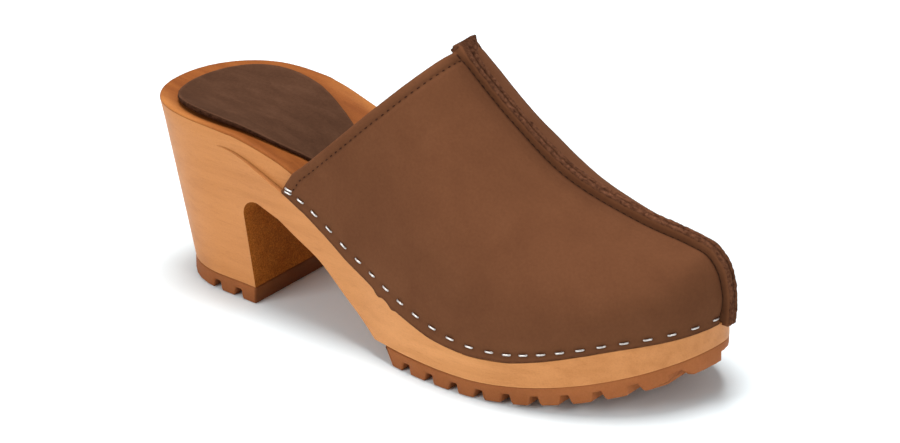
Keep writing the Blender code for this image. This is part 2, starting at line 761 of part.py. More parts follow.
def centre_on_floor(pieces, cutters):
    """Move everything so that the clog stands on the floor with its box centred on the origin."""
    bpy.context.view_layer.update()
    graph = bpy.context.evaluated_depsgraph_get()
    corners = [Vector(c) for p in pieces for c in p.evaluated_get(graph).bound_box]
    low = Vector(min(c[k] for c in corners) for k in range(3))
    high = Vector(max(c[k] for c in corners) for k in range(3))
    shift = Matrix.Translation((-(low.x + high.x) / 2, -(low.y + high.y) / 2, -low.z))
    for piece in list(pieces) + list(cutters.objects):
        piece.data.transform(shift)


def main():
    for old in list(bpy.data.objects):
        bpy.data.objects.remove(old, do_unlink=True)
    parts = bpy.data.collections.new("clog")
    cutters = bpy.data.collections.new("cutters")
    for collection in (parts, cutters):
        bpy.context.scene.collection.children.link(collection)
    pieces = [
        make_wood_sole(parts, cutters),
        make_forefoot_outsole(parts, cutters),
        make_heel_lift(parts, cutters),
        make_upper(parts, cutters),
        make_heel_pad(parts),
    ]
    pieces += make_staples(parts)
    centre_on_floor(pieces, cutters)


main()
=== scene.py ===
"""Looks of the heeled wooden clog: finer surfaces, materials, staples, stitches, light and camera.

The forms come from the same named sizes and tables as the solids, in the last's own frame, where X runs from
the back of the heel to the toe, and are then moved to the part's frame.
"""

import math

import bmesh
import bpy
import numpy as np
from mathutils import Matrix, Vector, noise
from mathutils.kdtree import KDTree


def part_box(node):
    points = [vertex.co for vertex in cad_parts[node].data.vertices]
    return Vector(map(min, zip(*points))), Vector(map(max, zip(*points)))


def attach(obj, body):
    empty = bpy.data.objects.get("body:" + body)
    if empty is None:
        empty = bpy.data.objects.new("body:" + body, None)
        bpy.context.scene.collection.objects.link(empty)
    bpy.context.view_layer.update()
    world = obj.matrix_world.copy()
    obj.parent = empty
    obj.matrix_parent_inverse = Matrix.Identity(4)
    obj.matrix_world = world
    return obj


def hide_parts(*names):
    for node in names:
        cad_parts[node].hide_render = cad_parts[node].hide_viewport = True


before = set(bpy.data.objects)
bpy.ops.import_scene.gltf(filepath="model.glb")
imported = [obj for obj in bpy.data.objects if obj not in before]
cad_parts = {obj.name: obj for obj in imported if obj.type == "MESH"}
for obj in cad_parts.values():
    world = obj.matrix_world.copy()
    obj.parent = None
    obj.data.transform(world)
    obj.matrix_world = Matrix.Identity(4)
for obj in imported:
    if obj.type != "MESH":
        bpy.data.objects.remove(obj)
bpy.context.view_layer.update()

MM = 0.001
RIGHT_ANGLE = math.pi / 2

# Sizes of the solids
SOLE_LENGTH = 240.2 * MM
BALL_WIDTH = 90.6 * MM
HEEL_HEIGHT = 70.4 * MM
INSTEP_HEIGHT = 112.1 * MM
OUTSOLE = 6.9 * MM
TOE_SPRING = 13.6 * MM
WALL = 1.9 * MM
GAP = 0.3 * MM
HEEL_ROUND = 0.159 * SOLE_LENGTH
HEEL_POWER = 2.21
BALL_AT = 0.695 * SOLE_LENGTH
TOE_INWARD = 0.116 * BALL_WIDTH
TOE_POWER_ALONG = 1.86
TOE_POWER_ACROSS = 2.01
SOLID_END_FLAT = 0.05
BREAST_AT = 57.3 * MM
BREAST_TOP_AT = 54.0 * MM
ARCH_RADIUS = 6.5 * MM
ARCH_TOP = 43.8 * MM
SPRING_FROM = 160.0 * MM
BACK_LEAN = 0.266
SIDE_TAPER_BREAST = 0.182
SIDE_TAPER_BACK = 0.252
TAPER_END = 125.0 * MM
RIM_ROUND = 1.0 * MM
REBATE = 1.9 * MM
REBATE_START = 43.0 * MM
REBATE_STEP = 0.5 * MM
REBATE_STEP_RUN = 2.5 * MM
REBATE_RAMP = 26.0 * MM
REBATE_END_SLANT = 4.0 * MM
LEDGE_ROUND = 0.2 * MM
SEAT_POWER = 2.4
PROUD = 0.3 * MM
CORNER_AT = 72.5 * MM
COLLAR_SLOPE = 0.53
COLLAR_BOW = 0.95
SKIRT_LEAN_POWER = 4
SKIRT_OVER_RIM = 1.2 * MM
HEM = 7.0 * MM
HEM_THICKNESS = 3.0 * MM
SEAM_HALF_WIDTH = 2.05 * MM
SEAM_HEIGHT = 3.8 * MM
SEAM_END_HEIGHT = 2.6 * MM
SEAM_FLARE = 0.8 * MM
SEAM_FLARE_RUN = 9.0 * MM
SEAM_END_RUN = 6.0 * MM
SEAM_TOE_Y = 1.15 * TOE_INWARD
PAD_BACK = 8.1 * MM
PAD_LENGTH = 90.5 * MM
PAD_HALF_WIDTH = 24.7 * MM
PAD_EGG = 0.585
PAD_INWARD = 0.75 * MM
PAD_LEAN = -0.034
PAD_THICKNESS = 1.5 * MM
PAD_GAP = 0.3 * MM
PAD_CURL = 2.1 * MM
PAD_CURL_AT = 1.06
PAD_CURL_WIDE = 0.6
STAPLES_PER_SIDE = 25
STAPLE_LENGTH = 3.4 * MM
STAPLE_SHORTER = 0.3 * MM
STAPLE_WIDTH = 0.8 * MM
STAPLE_FIRST = 5.3 * MM
STAPLE_LAST = 6.0 * MM
DOUBLE_STAPLE_STEP = 1.3 * MM

# Fineness of the surfaces made here
END_FLAT = 0.012
HEEL_ARC_STEPS = 26
SIDE_STEPS = 56
TOE_ARC_STEPS = 36
UPPER_COLUMNS = 220
SKIRT_ROWS = 9
DOME_ROWS = 66

# Seams, stitches and edges of the upper
HEM_STITCH_AT = 4.2 * MM
HEM_STITCH_STEP = 2.8 * MM
SEAM_FOOT = 2.05 * MM
SEAM_STITCH_STEP = 2.8 * MM
SEAM_END_LEAN = math.radians(-32)
SEAM_LEAN_RUN = 11.0 * MM
SEAM_OVERHANG = 1.6 * MM
SEAM_SPREAD = 1.5
SEAM_PINCH = 0.35
SEAM_LOW = 0.16
SEAM_LOW_FROM = 60.0 * MM
SEAM_LOW_RUN = 50.0 * MM
COLLAR_PULL = 2.6 * MM
COLLAR_PULL_DEEP = 8.0 * MM
COLLAR_PULL_FROM = 9.0 * MM
COLLAR_PULL_WIDE = 16.0 * MM
SEAM_HANG = 1.2 * MM
EDGE_DROP = 0.4 * MM
COLLAR_INSET = 1.2 * MM


def table(names, *rows):
    """A small table: column name to array."""
    return dict(zip(names.split(), np.array(rows, float).T))


# Half-widths of the waist as shares of BALL_WIDTH, along as a share of SOLE_LENGTH
WAIST = table(
    "along lateral medial",
    (0.159, 0.352, 0.376),
    (0.291, 0.361, 0.377),
    (0.402, 0.375, 0.389),
    (0.458, 0.390, 0.397),
    (0.521, 0.434, 0.418),
    (0.583, 0.471, 0.456),
    (0.645, 0.493, 0.489),
    (0.695, 0.498, 0.502),
)

# Heights of the sole's top edge and of the rebate's ledge, as shares of HEEL_HEIGHT
PROFILE = table(
    "along rim ledge",
    (0.000, 1.000, 0.881),
    (0.091, 1.010, 0.892),
    (0.187, 0.993, 0.889),
    (0.291, 0.906, 0.767),
    (0.346, 0.828, 0.678),
    (0.396, 0.741, 0.578),
    (0.449, 0.636, 0.462),
    (0.513, 0.516, 0.378),
    (0.571, 0.433, 0.310),
    (0.633, 0.384, 0.256),
    (0.699, 0.361, 0.236),
    (0.754, 0.369, 0.246),
    (0.816, 0.409, 0.286),
    (0.870, 0.457, 0.334),
    (0.920, 0.500, 0.376),
    (1.000, 0.534, 0.411),
)

# Depth of the foot's bed under the rim, as a share of HEEL_HEIGHT
SEAT = table(
    "along depth",
    (0.00, 0.050),
    (0.25, 0.050),
    (0.50, 0.055),
    (0.80, 0.045),
    (1.00, 0.030),
)

# Lower edge of the waist from the arch down to the forefoot, as shares of SOLE_LENGTH and HEEL_HEIGHT
WAIST_LINE = table(
    "along height",
    (0.300, 0.572),
    (0.337, 0.501),
    (0.379, 0.426),
    (0.437, 0.266),
    (0.503, 0.106),
)

# Middle line of the upper under its raised seam, as shares of SOLE_LENGTH, INSTEP_HEIGHT and TOE_INWARD
SEAM = table(
    "row along height inward",
    (0, 0.547, 1.000, 0.00),
    (1, 0.645, 0.809, 0.12),
    (2, 0.753, 0.643, 0.32),
    (3, 0.875, 0.547, 0.68),
    (4, 0.939, 0.510, 0.94),
    (5, 0.974, 0.483, 1.06),
    (6, 0.994, 0.417, 1.13),
    (7, 1.000, 0.346, 1.15),
)

# Sections of the upper, collar to toe, as in the solids
SECTIONS = table(
    "seam edge power bulge level",
    (0.00, 0.00, 2.38, 0.006, 0.0),
    (0.11, 0.15, 2.48, 0.009, 0.1),
    (0.33, 0.35, 2.54, 0.010, 0.4),
    (0.55, 0.55, 2.09, 0.006, 0.8),
    (0.76, 0.75, 1.90, 0.005, 1.0),
    (0.91, 0.90, 2.20, 0.002, 1.0),
    (1.00, 1.00, 2.20, 0.000, 1.0),
)

# The row of staples: its height over the upper's lower edge in millimetres and the relative step to the next
STAPLE_ROW = table(
    "along over_edge step",
    (0.00, 1.3, 0.030),
    (0.07, 4.3, 0.040),
    (0.35, 5.5, 0.041),
    (0.46, 4.1, 0.041),
    (0.54, 3.4, 0.031),
    (0.61, 3.0, 0.034),
    (0.80, 2.5, 0.044),
    (1.00, 2.7, 0.056),
)

# Half of the raised seam's section in millimetres: across from its middle, height, and 1 where it is raw
RIDGE = table(
    "order across height raw",
    (0, 2.25, -1.40, 0),
    (1, 2.12, -0.30, 0),
    (2, 2.05, 0.50, 0),
    (3, 2.03, 1.40, 0),
    (4, 2.08, 2.20, 0),
    (5, 2.12, 2.75, 1),
    (6, 2.04, 3.45, 1),
    (7, 1.80, 3.74, 1),
    (8, 1.35, 3.82, 1),
    (9, 0.95, 3.78, 1),
    (10, 0.55, 3.70, 1),
    (11, 0.25, 3.30, 1),
    (12, 0.00, 2.70, 1),
)

# Notches, and laps below nothing, in the outer lower edge: place along the sole, half length and depth in mm
NICKS = table(
    "along half_length depth",
    (123.0, 1.9, -1.2),
    (130.5, 1.7, -1.0),
    (176.0, 2.5, 0.3),
    (206.0, 2.0, 0.25),
)

SIDES = {"lateral": -1.0, "medial": 1.0}


def smooth(rows, column, at):
    """One column of a table at the given places, as a curve that never overshoots its rows."""
    x = rows[next(iter(rows))]
    y = rows[column]
    step = np.diff(x)
    slope = np.diff(y) / step
    tangent = np.zeros_like(y)
    tangent[0] = slope[0]
    tangent[-1] = slope[-1]
    for i in range(1, len(x) - 1):
        if slope[i - 1] * slope[i] > 0:
            before = 2 * step[i] + step[i - 1]
            after = step[i] + 2 * step[i - 1]
            tangent[i] = (before + after) / (before / slope[i - 1] + after / slope[i])
    at = np.clip(np.asarray(at, float), x[0], x[-1])
    i = np.clip(np.searchsorted(x, at, side="right") - 1, 0, len(x) - 2)
    t = (at - x[i]) / step[i]
    rise = y[i] * (1 + 2 * t) * (1 - t) ** 2 + y[i + 1] * t * t * (3 - 2 * t)
    return rise + step[i] * (tangent[i] * t * (1 - t) ** 2 + tangent[i + 1] * t * t * (t - 1))


def ease(t):
    """A soft step from 0 to 1."""
    t = np.clip(t, 0.0, 1.0)
    return t * t * (3 - 2 * t)


def hump(t):
    """A soft bump, 1 in its middle and nothing beyond about two."""
    return np.exp(-np.square(t))


def climb(value, start, run):
    """A soft step from 0 to 1 that begins at start and takes run."""
    return ease((value - start) / run)


def band(value, middle, half):
    """A soft bump of a value about middle, nothing beyond about twice half."""
    return hump((value - middle) / half)


def unit(vectors):
    """Vectors made one long, along the last axis."""
    return vectors / np.linalg.norm(vectors, axis=-1, keepdims=True)


def rim_height(x):
    return HEEL_HEIGHT * smooth(PROFILE, "rim", x / SOLE_LENGTH)


def ledge_height(x):
    return HEEL_HEIGHT * smooth(PROFILE, "ledge", x / SOLE_LENGTH)


def toe_lift(x):
    """How far the toe spring raises the sole at x."""
    run = max(0.0, (x - SPRING_FROM) / (SOLE_LENGTH - SPRING_FROM))
    return TOE_SPRING * run * run


def outline_y(x, side):
    """The wooden sole's edge at x, on the lateral or the medial side."""
    sign = SIDES[side]
    if x < HEEL_ROUND:
        turn = (HEEL_ROUND - x) / HEEL_ROUND
        width = BALL_WIDTH * WAIST[side][0]
        return sign * width * (1 - turn ** HEEL_POWER) ** (1 / HEEL_POWER)
    if x < BALL_AT:
        return sign * BALL_WIDTH * float(smooth(WAIST, side, x / SOLE_LENGTH))
    turn = min(1.0, (x - BALL_AT) / (SOLE_LENGTH - BALL_AT))
    ball = sign * BALL_WIDTH * WAIST[side][-1]
    share = (1 - turn ** TOE_POWER_ALONG) ** (1 / TOE_POWER_ACROSS)
    return TOE_INWARD + (ball - TOE_INWARD) * share


def toe_x(angle):
    return BALL_AT + (SOLE_LENGTH - BALL_AT) * math.sin(angle) ** (2 / TOE_POWER_ALONG)


def heel_x(angle):
    return HEEL_ROUND * (1 - math.cos(angle) ** (2 / HEEL_POWER))


def closed_outline():
    """The sole's outline as a closed loop, forward on the lateral side and back on the medial one."""
    places = [heel_x(a) for a in np.linspace(END_FLAT, RIGHT_ANGLE, HEEL_ARC_STEPS)]
    places += list(np.linspace(HEEL_ROUND, BALL_AT, SIDE_STEPS))[1:-1]
    places += [toe_x(a) for a in np.linspace(0, RIGHT_ANGLE - END_FLAT, TOE_ARC_STEPS)]
    forward = [(x, outline_y(x, "lateral")) for x in places]
    back = [(x, outline_y(x, "medial")) for x in reversed(places)]
    return np.array(forward + back)


def outward(loop):
    """Unit normals of a closed plan loop, pointing out of it."""
    run = np.roll(loop, -1, axis=0) - np.roll(loop, 1, axis=0)
    return unit(np.column_stack([run[:, 1], -run[:, 0]]))


def side_at(point, z):
    """A point of the outline taken down to height z: the heel leans in all round, the waist a little."""
    x, y = point
    leather = ease((x - REBATE_START) / (CORNER_AT - REBATE_START))
    start = rim_height(x) + (ledge_height(x) - rim_height(x)) * leather
    share = max(0.0, start - z) / HEEL_HEIGHT
    if x < BREAST_AT:
        toward_back = 1 - x / BREAST_AT
        side = SIDE_TAPER_BREAST + (SIDE_TAPER_BACK - SIDE_TAPER_BREAST) * toward_back
        return BREAST_AT - (BREAST_AT - x) * (1 - BACK_LEAN * share), y * (1 - side * share)
    fade = 1 - ease((x - BREAST_AT) / (TAPER_END - BREAST_AT))
    return x, y * (1 - SIDE_TAPER_BREAST * fade * share)


def rebate_depth(x, slant):
    """Depth of the rebate that takes the leather: none at the heel, a shallow step, then a long ramp."""
    run = x - REBATE_START - slant
    return REBATE_STEP * ease(run / REBATE_STEP_RUN) + (REBATE - REBATE_STEP) * ease(run / REBATE_RAMP)


def seat_height(x, reach):
    """The foot's bed at x, where reach is 0 on its middle line and 1 at the rim."""
    depth = HEEL_HEIGHT * smooth(SEAT, "depth", x / SOLE_LENGTH)
    return rim_height(x) - depth * (1 - reach ** SEAT_POWER)


def last_to_part():
    """The step from the last's frame to the part's, read off the wooden sole's box."""
    low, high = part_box("wood_sole")
    tip = toe_x(RIGHT_ANGLE - SOLID_END_FLAT)
    return np.array([high.x - tip, low.y - outline_y(BALL_AT, "lateral"), 0.0])


SHIFT = last_to_part()


def rough(points, scale, seed):
    """Smooth noise between about -1 and 1 at each point; scale is waves per metre."""
    away = Vector((seed, 2.7 * seed, 5.1 * seed))
    return np.array([noise.noise(Vector(p) * scale + away) for p in points])


# Pieces

WELD = 0.002 * MM


def new_object(name, data):
    """An object in the scene."""
    made = bpy.data.objects.new(name, data)
    bpy.context.scene.collection.objects.link(made)
    return made


def mark(mesh, shade):
    """Keep a number or a colour at each point of a mesh, for its material to multiply by; mostly painted
    shade and light.
    """
    tints = np.ones((len(mesh.vertices), 4))
    tints[:, :3] = shade[:, None] if np.ndim(shade) == 1 else shade
    kept = mesh.attributes.get("shade")
    if kept:
        mesh.attributes.remove(kept)
    tone = mesh.attributes.new("shade", "FLOAT_COLOR", "POINT")
    tone.data.foreach_set("color", tints.ravel())


def new_mesh(name, points, faces, looks, look_of_face=None, shade=None):
    """A smooth-shaded mesh from points of the last's frame, moved to the part's frame."""
    mesh = bpy.data.meshes.new(name)
    mesh.from_pydata([tuple(p) for p in np.asarray(points) + SHIFT], [], faces)
    for look in looks:
        mesh.materials.append(look)
    if look_of_face is not None:
        mesh.polygons.foreach_set("material_index", look_of_face)
    if shade is not None:
        mark(mesh, shade)
    bm = bmesh.new()
    bm.from_mesh(mesh)
    bmesh.ops.remove_doubles(bm, verts=bm.verts, dist=WELD)
    bmesh.ops.dissolve_degenerate(bm, dist=WELD, edges=bm.edges)
    bmesh.ops.recalc_face_normals(bm, faces=bm.faces)
    bm.to_mesh(mesh)
    bm.free()
    mesh.shade_smooth()
    return mesh


def dress(name, mesh, replaces):
    """A piece that rides on the one body and stands for the given solids."""
    piece = new_object(name, mesh)
    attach(piece, "root")
    if replaces:
        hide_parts(*replaces)
    return piece


def new_piece(name, points, faces, looks, slot, replaces=(), look_of_face=None, shade=None):
    """A piece from points of the last's frame; shade darkens its points."""
    shade = np.ones(len(points)) if shade is None else shade
    return dress(name, new_mesh(name, points, faces, looks, look_of_face, shade), replaces)


def apply_modifiers(piece):
    """Keep the piece's evaluated mesh in place of its modifiers."""
    graph = bpy.context.evaluated_depsgraph_get()
    mesh = bpy.data.meshes.new_from_object(piece.evaluated_get(graph))
    piece.modifiers.clear()
    piece.data = mesh


def grid_faces(rows, columns, start=0, closed=False):
    """Faces over a grid of points stored row by row."""
    faces = []
    for i in range(rows - 1):
        for j in range(columns if closed else columns - 1):
            k = (j + 1) % columns
            a = start + i * columns
            b = a + columns
            faces.append((a + j, a + k, b + k, b + j))
    return faces


def tube_faces(rings, count):
    """Faces over closed rings of points, with a cap at both ends."""
    last = rings * count
    caps = [tuple(range(count)), tuple(range(last - 1, last - count - 1, -1))]
    return grid_faces(rings, count, closed=True) + caps


# Materials

PLAIN = (1.0, 1.0, 1.0)
GRAIN_LEAN = (0.0, math.radians(4.0), 0.0)
WORN_RADIUS = 0.9 * MM
DULL = 0.06


def grey(tone):
    return (tone, tone, tone)


class Look:
    """A material in the making, with short ways to add the nodes that the looks share."""

    def __init__(self, name):
        self.made = bpy.data.materials.new(name)
        self.made.use_nodes = True
        self.tree = self.made.node_tree
        self.shader = self.tree.nodes["Principled BSDF"]

    def feed(self, node, values):
        """Set a node's inputs to numbers, or link them to sockets."""
        for key, value in values.items():
            if isinstance(value, bpy.types.NodeSocket):
                self.tree.links.new(value, node.inputs[key])
            else:
                node.inputs[key].default_value = value

    def add(self, kind, **values):
        """A new node with its inputs fed."""
        node = self.tree.nodes.new(kind)
        self.feed(node, values)
        return node

    def place(self, stretch=PLAIN, turn=(0.0, 0.0, 0.0)):
        """Object coordinates, stretched and turned."""
        spot = self.add("ShaderNodeTexCoord").outputs["Object"]
        return self.add("ShaderNodeMapping", Scale=stretch, Rotation=turn, Vector=spot).outputs["Vector"]

    def clouds(self, vector, scale, detail=4.0, roughness=0.55, distortion=0.0):
        """Noise of scale waves per metre."""
        values = {"Scale": scale, "Detail": detail, "Roughness": roughness, "Distortion": distortion}
        return self.add("ShaderNodeTexNoise", Vector=vector, **values).outputs["Fac"]

    def ramp(self, value, places, colours):
        """Colours at the given places of a value."""
        made = self.add("ShaderNodeValToRGB", Fac=value)
        elements = made.color_ramp.elements
        while len(elements) < len(places):
            elements.new(0.5)
        for element, at, colour in zip(elements, places, colours):
            element.position = at
            element.color = (*colour, 1.0)
        return made.outputs["Color"]

    def times(self, first, second):
        """Two colours multiplied."""
        mix = self.add("ShaderNodeMix")
        mix.data_type = "RGBA"
        mix.blend_type = "MULTIPLY"
        mix.inputs["Factor"].default_value = 1.0
        for socket, colour in zip([s for s in mix.inputs if s.type == "RGBA"], (first, second)):
            self.tree.links.new(colour, socket)
        return next(s for s in mix.outputs if s.type == "RGBA")

    def shaded(self, colour):
        """A colour multiplied by the piece's own marks, mostly painted shade and painted light."""
        marks = self.add("ShaderNodeAttribute")
        marks.attribute_name = "shade"
        return self.times(colour, marks.outputs["Color"])

    def bumps(self, *layers, normal=None):
        """A chain of bumps over a first normal: height socket, strength and distance in metres."""
        for height, strength, distance in layers:
            bump = self.add("ShaderNodeBump", Strength=strength, Distance=distance, Height=height)
            if normal:
                self.feed(bump, {"Normal": normal})
            normal = bump.outputs["Normal"]
        self.feed(self.shader, {"Normal": normal})


def leather_look(name, tones, tone_scale, speck, fibre_bump, roughness=0.95, stretch=PLAIN):
    """Matte brushed leather: clouds of tone, fine fibres and pores, darker where shade is painted, lighter
    where a highlight is.
    """
    look = Look(name)
    vector = look.place()
    tone = look.clouds(look.place(stretch), tone_scale, detail=5.0, roughness=0.6, distortion=0.4)
    colour = look.ramp(tone, (0.30, 0.52, 0.75), tones)
    fibres = look.clouds(vector, 900.0, detail=3.0, roughness=0.6)
    grain = look.ramp(fibres, (0.25, 0.75), (grey(1 - speck), grey(1 + 0.7 * speck)))
    colour = look.shaded(look.times(colour, grain))
    look.feed(look.shader, {"Base Color": colour, "Roughness": roughness, "Specular IOR Level": DULL})
    pores = look.clouds(vector, 2600.0, detail=2.0)
    swell = look.clouds(vector, 160.0, detail=3.0)
    look.bumps((swell, 0.10, 0.0006), (fibres, fibre_bump, 0.00012), (pores, 0.2, 0.00006))
    return look.made


def wood_look(name, tones, roughness, specular, flecks, speck):
    """Fine straight grain along the sole with faint bands, short pores, small dark flecks and dust."""
    look = Look(name)
    bands = look.clouds(look.place((1.0, 16.0, 16.0), GRAIN_LEAN), 15.0, roughness=0.5, distortion=0.2)
    pores = look.clouds(look.place((1.0, 40.0, 40.0), GRAIN_LEAN), 60.0, detail=3.0, roughness=0.7)
    spots = look.clouds(look.place((1.0, 5.0, 5.0), GRAIN_LEAN), 130.0, detail=1.0)
    dust = look.clouds(look.place(), 1700.0, detail=2.0)
    fleck = (1 - flecks, 1 - 1.2 * flecks, 1 - 1.4 * flecks)
    colour = look.ramp(bands, (0.30, 0.50, 0.70), tones)
    for value, places, tints in (
        (pores, (0.30, 0.45, 0.80), ((0.91, 0.88, 0.85), PLAIN, grey(1.03))),
        (spots, (0.66, 0.74), (PLAIN, fleck)),
        (dust, (0.36, 0.64), (grey(1 - speck), grey(1 + 0.8 * speck))),
    ):
        colour = look.times(colour, look.ramp(value, places, tints))
    colour = look.shaded(colour)
    look.feed(look.shader, {"Base Color": colour, "Roughness": roughness, "Specular IOR Level": specular})
    look.bumps((pores, 0.08, 0.0002), (bands, 0.04, 0.0004))
    return look.made


def rubber_look(name, tones):
    """Gum rubber: slightly cloudy, satin, worn at its edges."""
    look = Look(name)
    vector = look.place()
    cloud = look.clouds(vector, 70.0, detail=5.0, roughness=0.6)
    grit = look.clouds(vector, 1400.0, detail=2.0)
    speck = look.ramp(grit, (0.3, 0.7), ((0.93, 0.92, 0.90), grey(1.05)))
    look.feed(look.shader, {
        "Base Color": look.shaded(look.times(look.ramp(cloud, (0.3, 0.7), tones), speck)),
        "Roughness": 0.6,
        "Specular IOR Level": DULL,
        "Subsurface Weight": 0.12,
        "Subsurface Scale": 0.002,
        "Subsurface Radius": (1.0, 0.4, 0.15),
    })
    worn = look.add("ShaderNodeBevel", Radius=WORN_RADIUS)
    worn.samples = 6
    look.bumps((grit, 0.15, 0.0001), (cloud, 0.1, 0.0004), normal=worn.outputs["Normal"])
    return look.made


def wire_look(name, tones, scale, detail, strength, distance, finish):
    """Wire or thread with fine marks on it; finish holds its other shader inputs."""
    look = Look(name)
    marks = look.clouds(look.place(), scale, detail)
    look.feed(look.shader, {"Base Color": look.ramp(marks, (0.3, 0.7), tones), **finish})
    look.bumps((marks, strength, distance))
    return look.made


LEATHER = leather_look(
    "upper_nubuck",
    ((0.120, 0.0448, 0.0197), (0.132, 0.0501, 0.0220), (0.145, 0.0561, 0.0252)),
    tone_scale=45.0, speck=0.08, fibre_bump=0.18,
)
FLESH = leather_look(
    "upper_flesh_side",
    ((0.120, 0.052, 0.028), (0.165, 0.074, 0.041), (0.210, 0.098, 0.056)),
    tone_scale=45.0, speck=0.16, fibre_bump=0.6,
)
RAW = leather_look(
    "raw_leather_edge",
    ((0.034, 0.012, 0.0055), (0.104, 0.040, 0.0195), (0.155, 0.064, 0.034)),
    tone_scale=650.0, speck=0.16, fibre_bump=0.9,
)
PAD = leather_look(
    "pad_leather",
    ((0.062, 0.0262, 0.0132), (0.074, 0.0318, 0.0163), (0.092, 0.0410, 0.0220)),
    tone_scale=60.0, speck=0.14, fibre_bump=0.25, roughness=0.8, stretch=(1.0, 2.5, 2.5),
)
WOOD = wood_look(
    "side_wood",
    ((0.490, 0.196, 0.060), (0.540, 0.223, 0.072), (0.570, 0.240, 0.080)),
    roughness=0.5, specular=0.2, flecks=0.06, speck=0.03,
)
BED = wood_look(
    "bed_wood",
    ((0.217, 0.060, 0.0125), (0.256, 0.075, 0.0160), (0.282, 0.086, 0.0188)),
    roughness=0.6, specular=0.08, flecks=0.10, speck=0.06,
)
UNDER = wood_look(
    "under_wood",
    ((0.35, 0.106, 0.0165), (0.40, 0.126, 0.0195), (0.43, 0.140, 0.0225)),
    roughness=0.8, specular=0.05, flecks=0.10, speck=0.34,
)
RUBBER = rubber_look("gum_rubber", ((0.250, 0.080, 0.026), (0.312, 0.106, 0.036)))
STEEL = wire_look(
    "staple_wire", ((0.53, 0.49, 0.465), (0.67, 0.63, 0.60)),
    scale=1800.0, detail=2.0, strength=0.1, distance=0.00005, finish={"Metallic": 1.0, "Roughness": 0.36},
)
THREAD = wire_look(
    "dark_thread", ((0.028, 0.011, 0.006), (0.060, 0.024, 0.013)),
    scale=2200.0, detail=1.0, strength=0.4, distance=0.00008,
    finish={"Roughness": 0.8, "Specular IOR Level": 0.05},
)


# Wooden sole

ARCH_STEPS = 22
WAIST_LINE_STEPS = 40
SPRING_STEPS = 40
BED_RINGS = 13
RIM_RINGS = 4
SIDE_RINGS = 8
CUTTER_MARGIN = 60.0 * MM
LINE_HALF = 0.35 * MM
WOOD_ON_RUBBER = 0.06 * MM
SAME_POINT = 0.02 * MM
SOLE_SHARP = math.radians(32)
LEDGE_PAINTED_SHADE = 0.28
RIM_TINT = np.array([1.6, 2.0, 2.5])

# Painted light and shade along the sole's side, in millimetres: darker and redder at the heel, paler at the
# ball
SIDE_PAINTED_LIGHT = table(
    "along red green blue",
    (0, 0.90, 0.85, 0.74),
    (60, 0.92, 0.87, 0.78),
    (110, 1.00, 1.00, 0.98),
    (155, 1.10, 1.15, 1.18),
    (190, 1.00, 1.00, 0.98),
    (245, 1.00, 0.97, 0.95),
)


def underside():
    """The sole's lower profile in side view: heel base, breast, rounded arch, waist and sprung forefoot."""
    base = OUTSOLE + WOOD_ON_RUBBER
    middle_x = BREAST_TOP_AT + ARCH_RADIUS
    middle_z = ARCH_TOP - ARCH_RADIUS
    run_x = WAIST_LINE["along"][0] * SOLE_LENGTH - middle_x
    run_z = WAIST_LINE["height"][0] * HEEL_HEIGHT - middle_z
    last = math.atan2(run_z, run_x) + math.acos(min(1.0, ARCH_RADIUS / math.hypot(run_x, run_z)))
    points = [(-CUTTER_MARGIN, base), (BREAST_AT, base)]
    for angle in np.linspace(math.pi, last, ARCH_STEPS):
        points.append((middle_x + ARCH_RADIUS * math.cos(angle), middle_z + ARCH_RADIUS * math.sin(angle)))
    shares = np.linspace(WAIST_LINE["along"][0], WAIST_LINE["along"][-1], WAIST_LINE_STEPS)
    points += [(s * SOLE_LENGTH, HEEL_HEIGHT * float(smooth(WAIST_LINE, "height", s))) for s in shares]
    for x in np.linspace(SPRING_FROM, SOLE_LENGTH + REBATE, SPRING_STEPS):
        points.append((x, base + toe_lift(x)))
    return points


def sole_rings():
    """Rings of the sole from the middle of its bed over the rim and down its side."""
    loop = closed_outline()
    normal = outward(loop)
    x = loop[:, 0]
    spine = np.clip(x, HEEL_ROUND, SOLE_LENGTH - HEEL_ROUND)
    middle = np.array([(s, (outline_y(s, "lateral") + outline_y(s, "medial")) / 2) for s in spine])
    at_rim = loop - normal * np.array([rebate_depth(v, REBATE_END_SLANT) for v in x])[:, None]
    at_ledge = loop - normal * np.array([rebate_depth(v, 0.0) for v in x])[:, None]
    top = at_rim - normal * RIM_ROUND
    rings = []
    for reach in np.linspace(0, 1, BED_RINGS):
        points = middle + (top - middle) * reach
        rings.append(np.column_stack([points, seat_height(points[:, 0], reach)]))
    for angle in np.linspace(0, RIGHT_ANGLE, RIM_RINGS)[1:]:
        points = top + normal * RIM_ROUND * math.sin(angle)
        rings.append(np.column_stack([points, rim_height(x) - RIM_ROUND * (1 - math.cos(angle))]))
    bed_rings = len(rings)
    ledge = ledge_height(x)
    corner = ledge + LEDGE_ROUND
    below = ledge - LEDGE_ROUND
    room = (rim_height(x) - RIM_ROUND - ledge - LEDGE_ROUND)[:, None]
    above = at_ledge + (at_rim - at_ledge) * LINE_HALF / room
    levels = [(above, corner + LINE_HALF), (at_ledge, corner), (loop, below)]
    for share in np.linspace(0, 1, SIDE_RINGS)[1:]:
        levels.append((loop, below + (OUTSOLE / 2 - ledge + LEDGE_ROUND) * share))
    for points, z in levels:
        rings.append(np.column_stack([np.array([side_at(p, h) for p, h in zip(points, z)]), z]))
    return rings, bed_rings


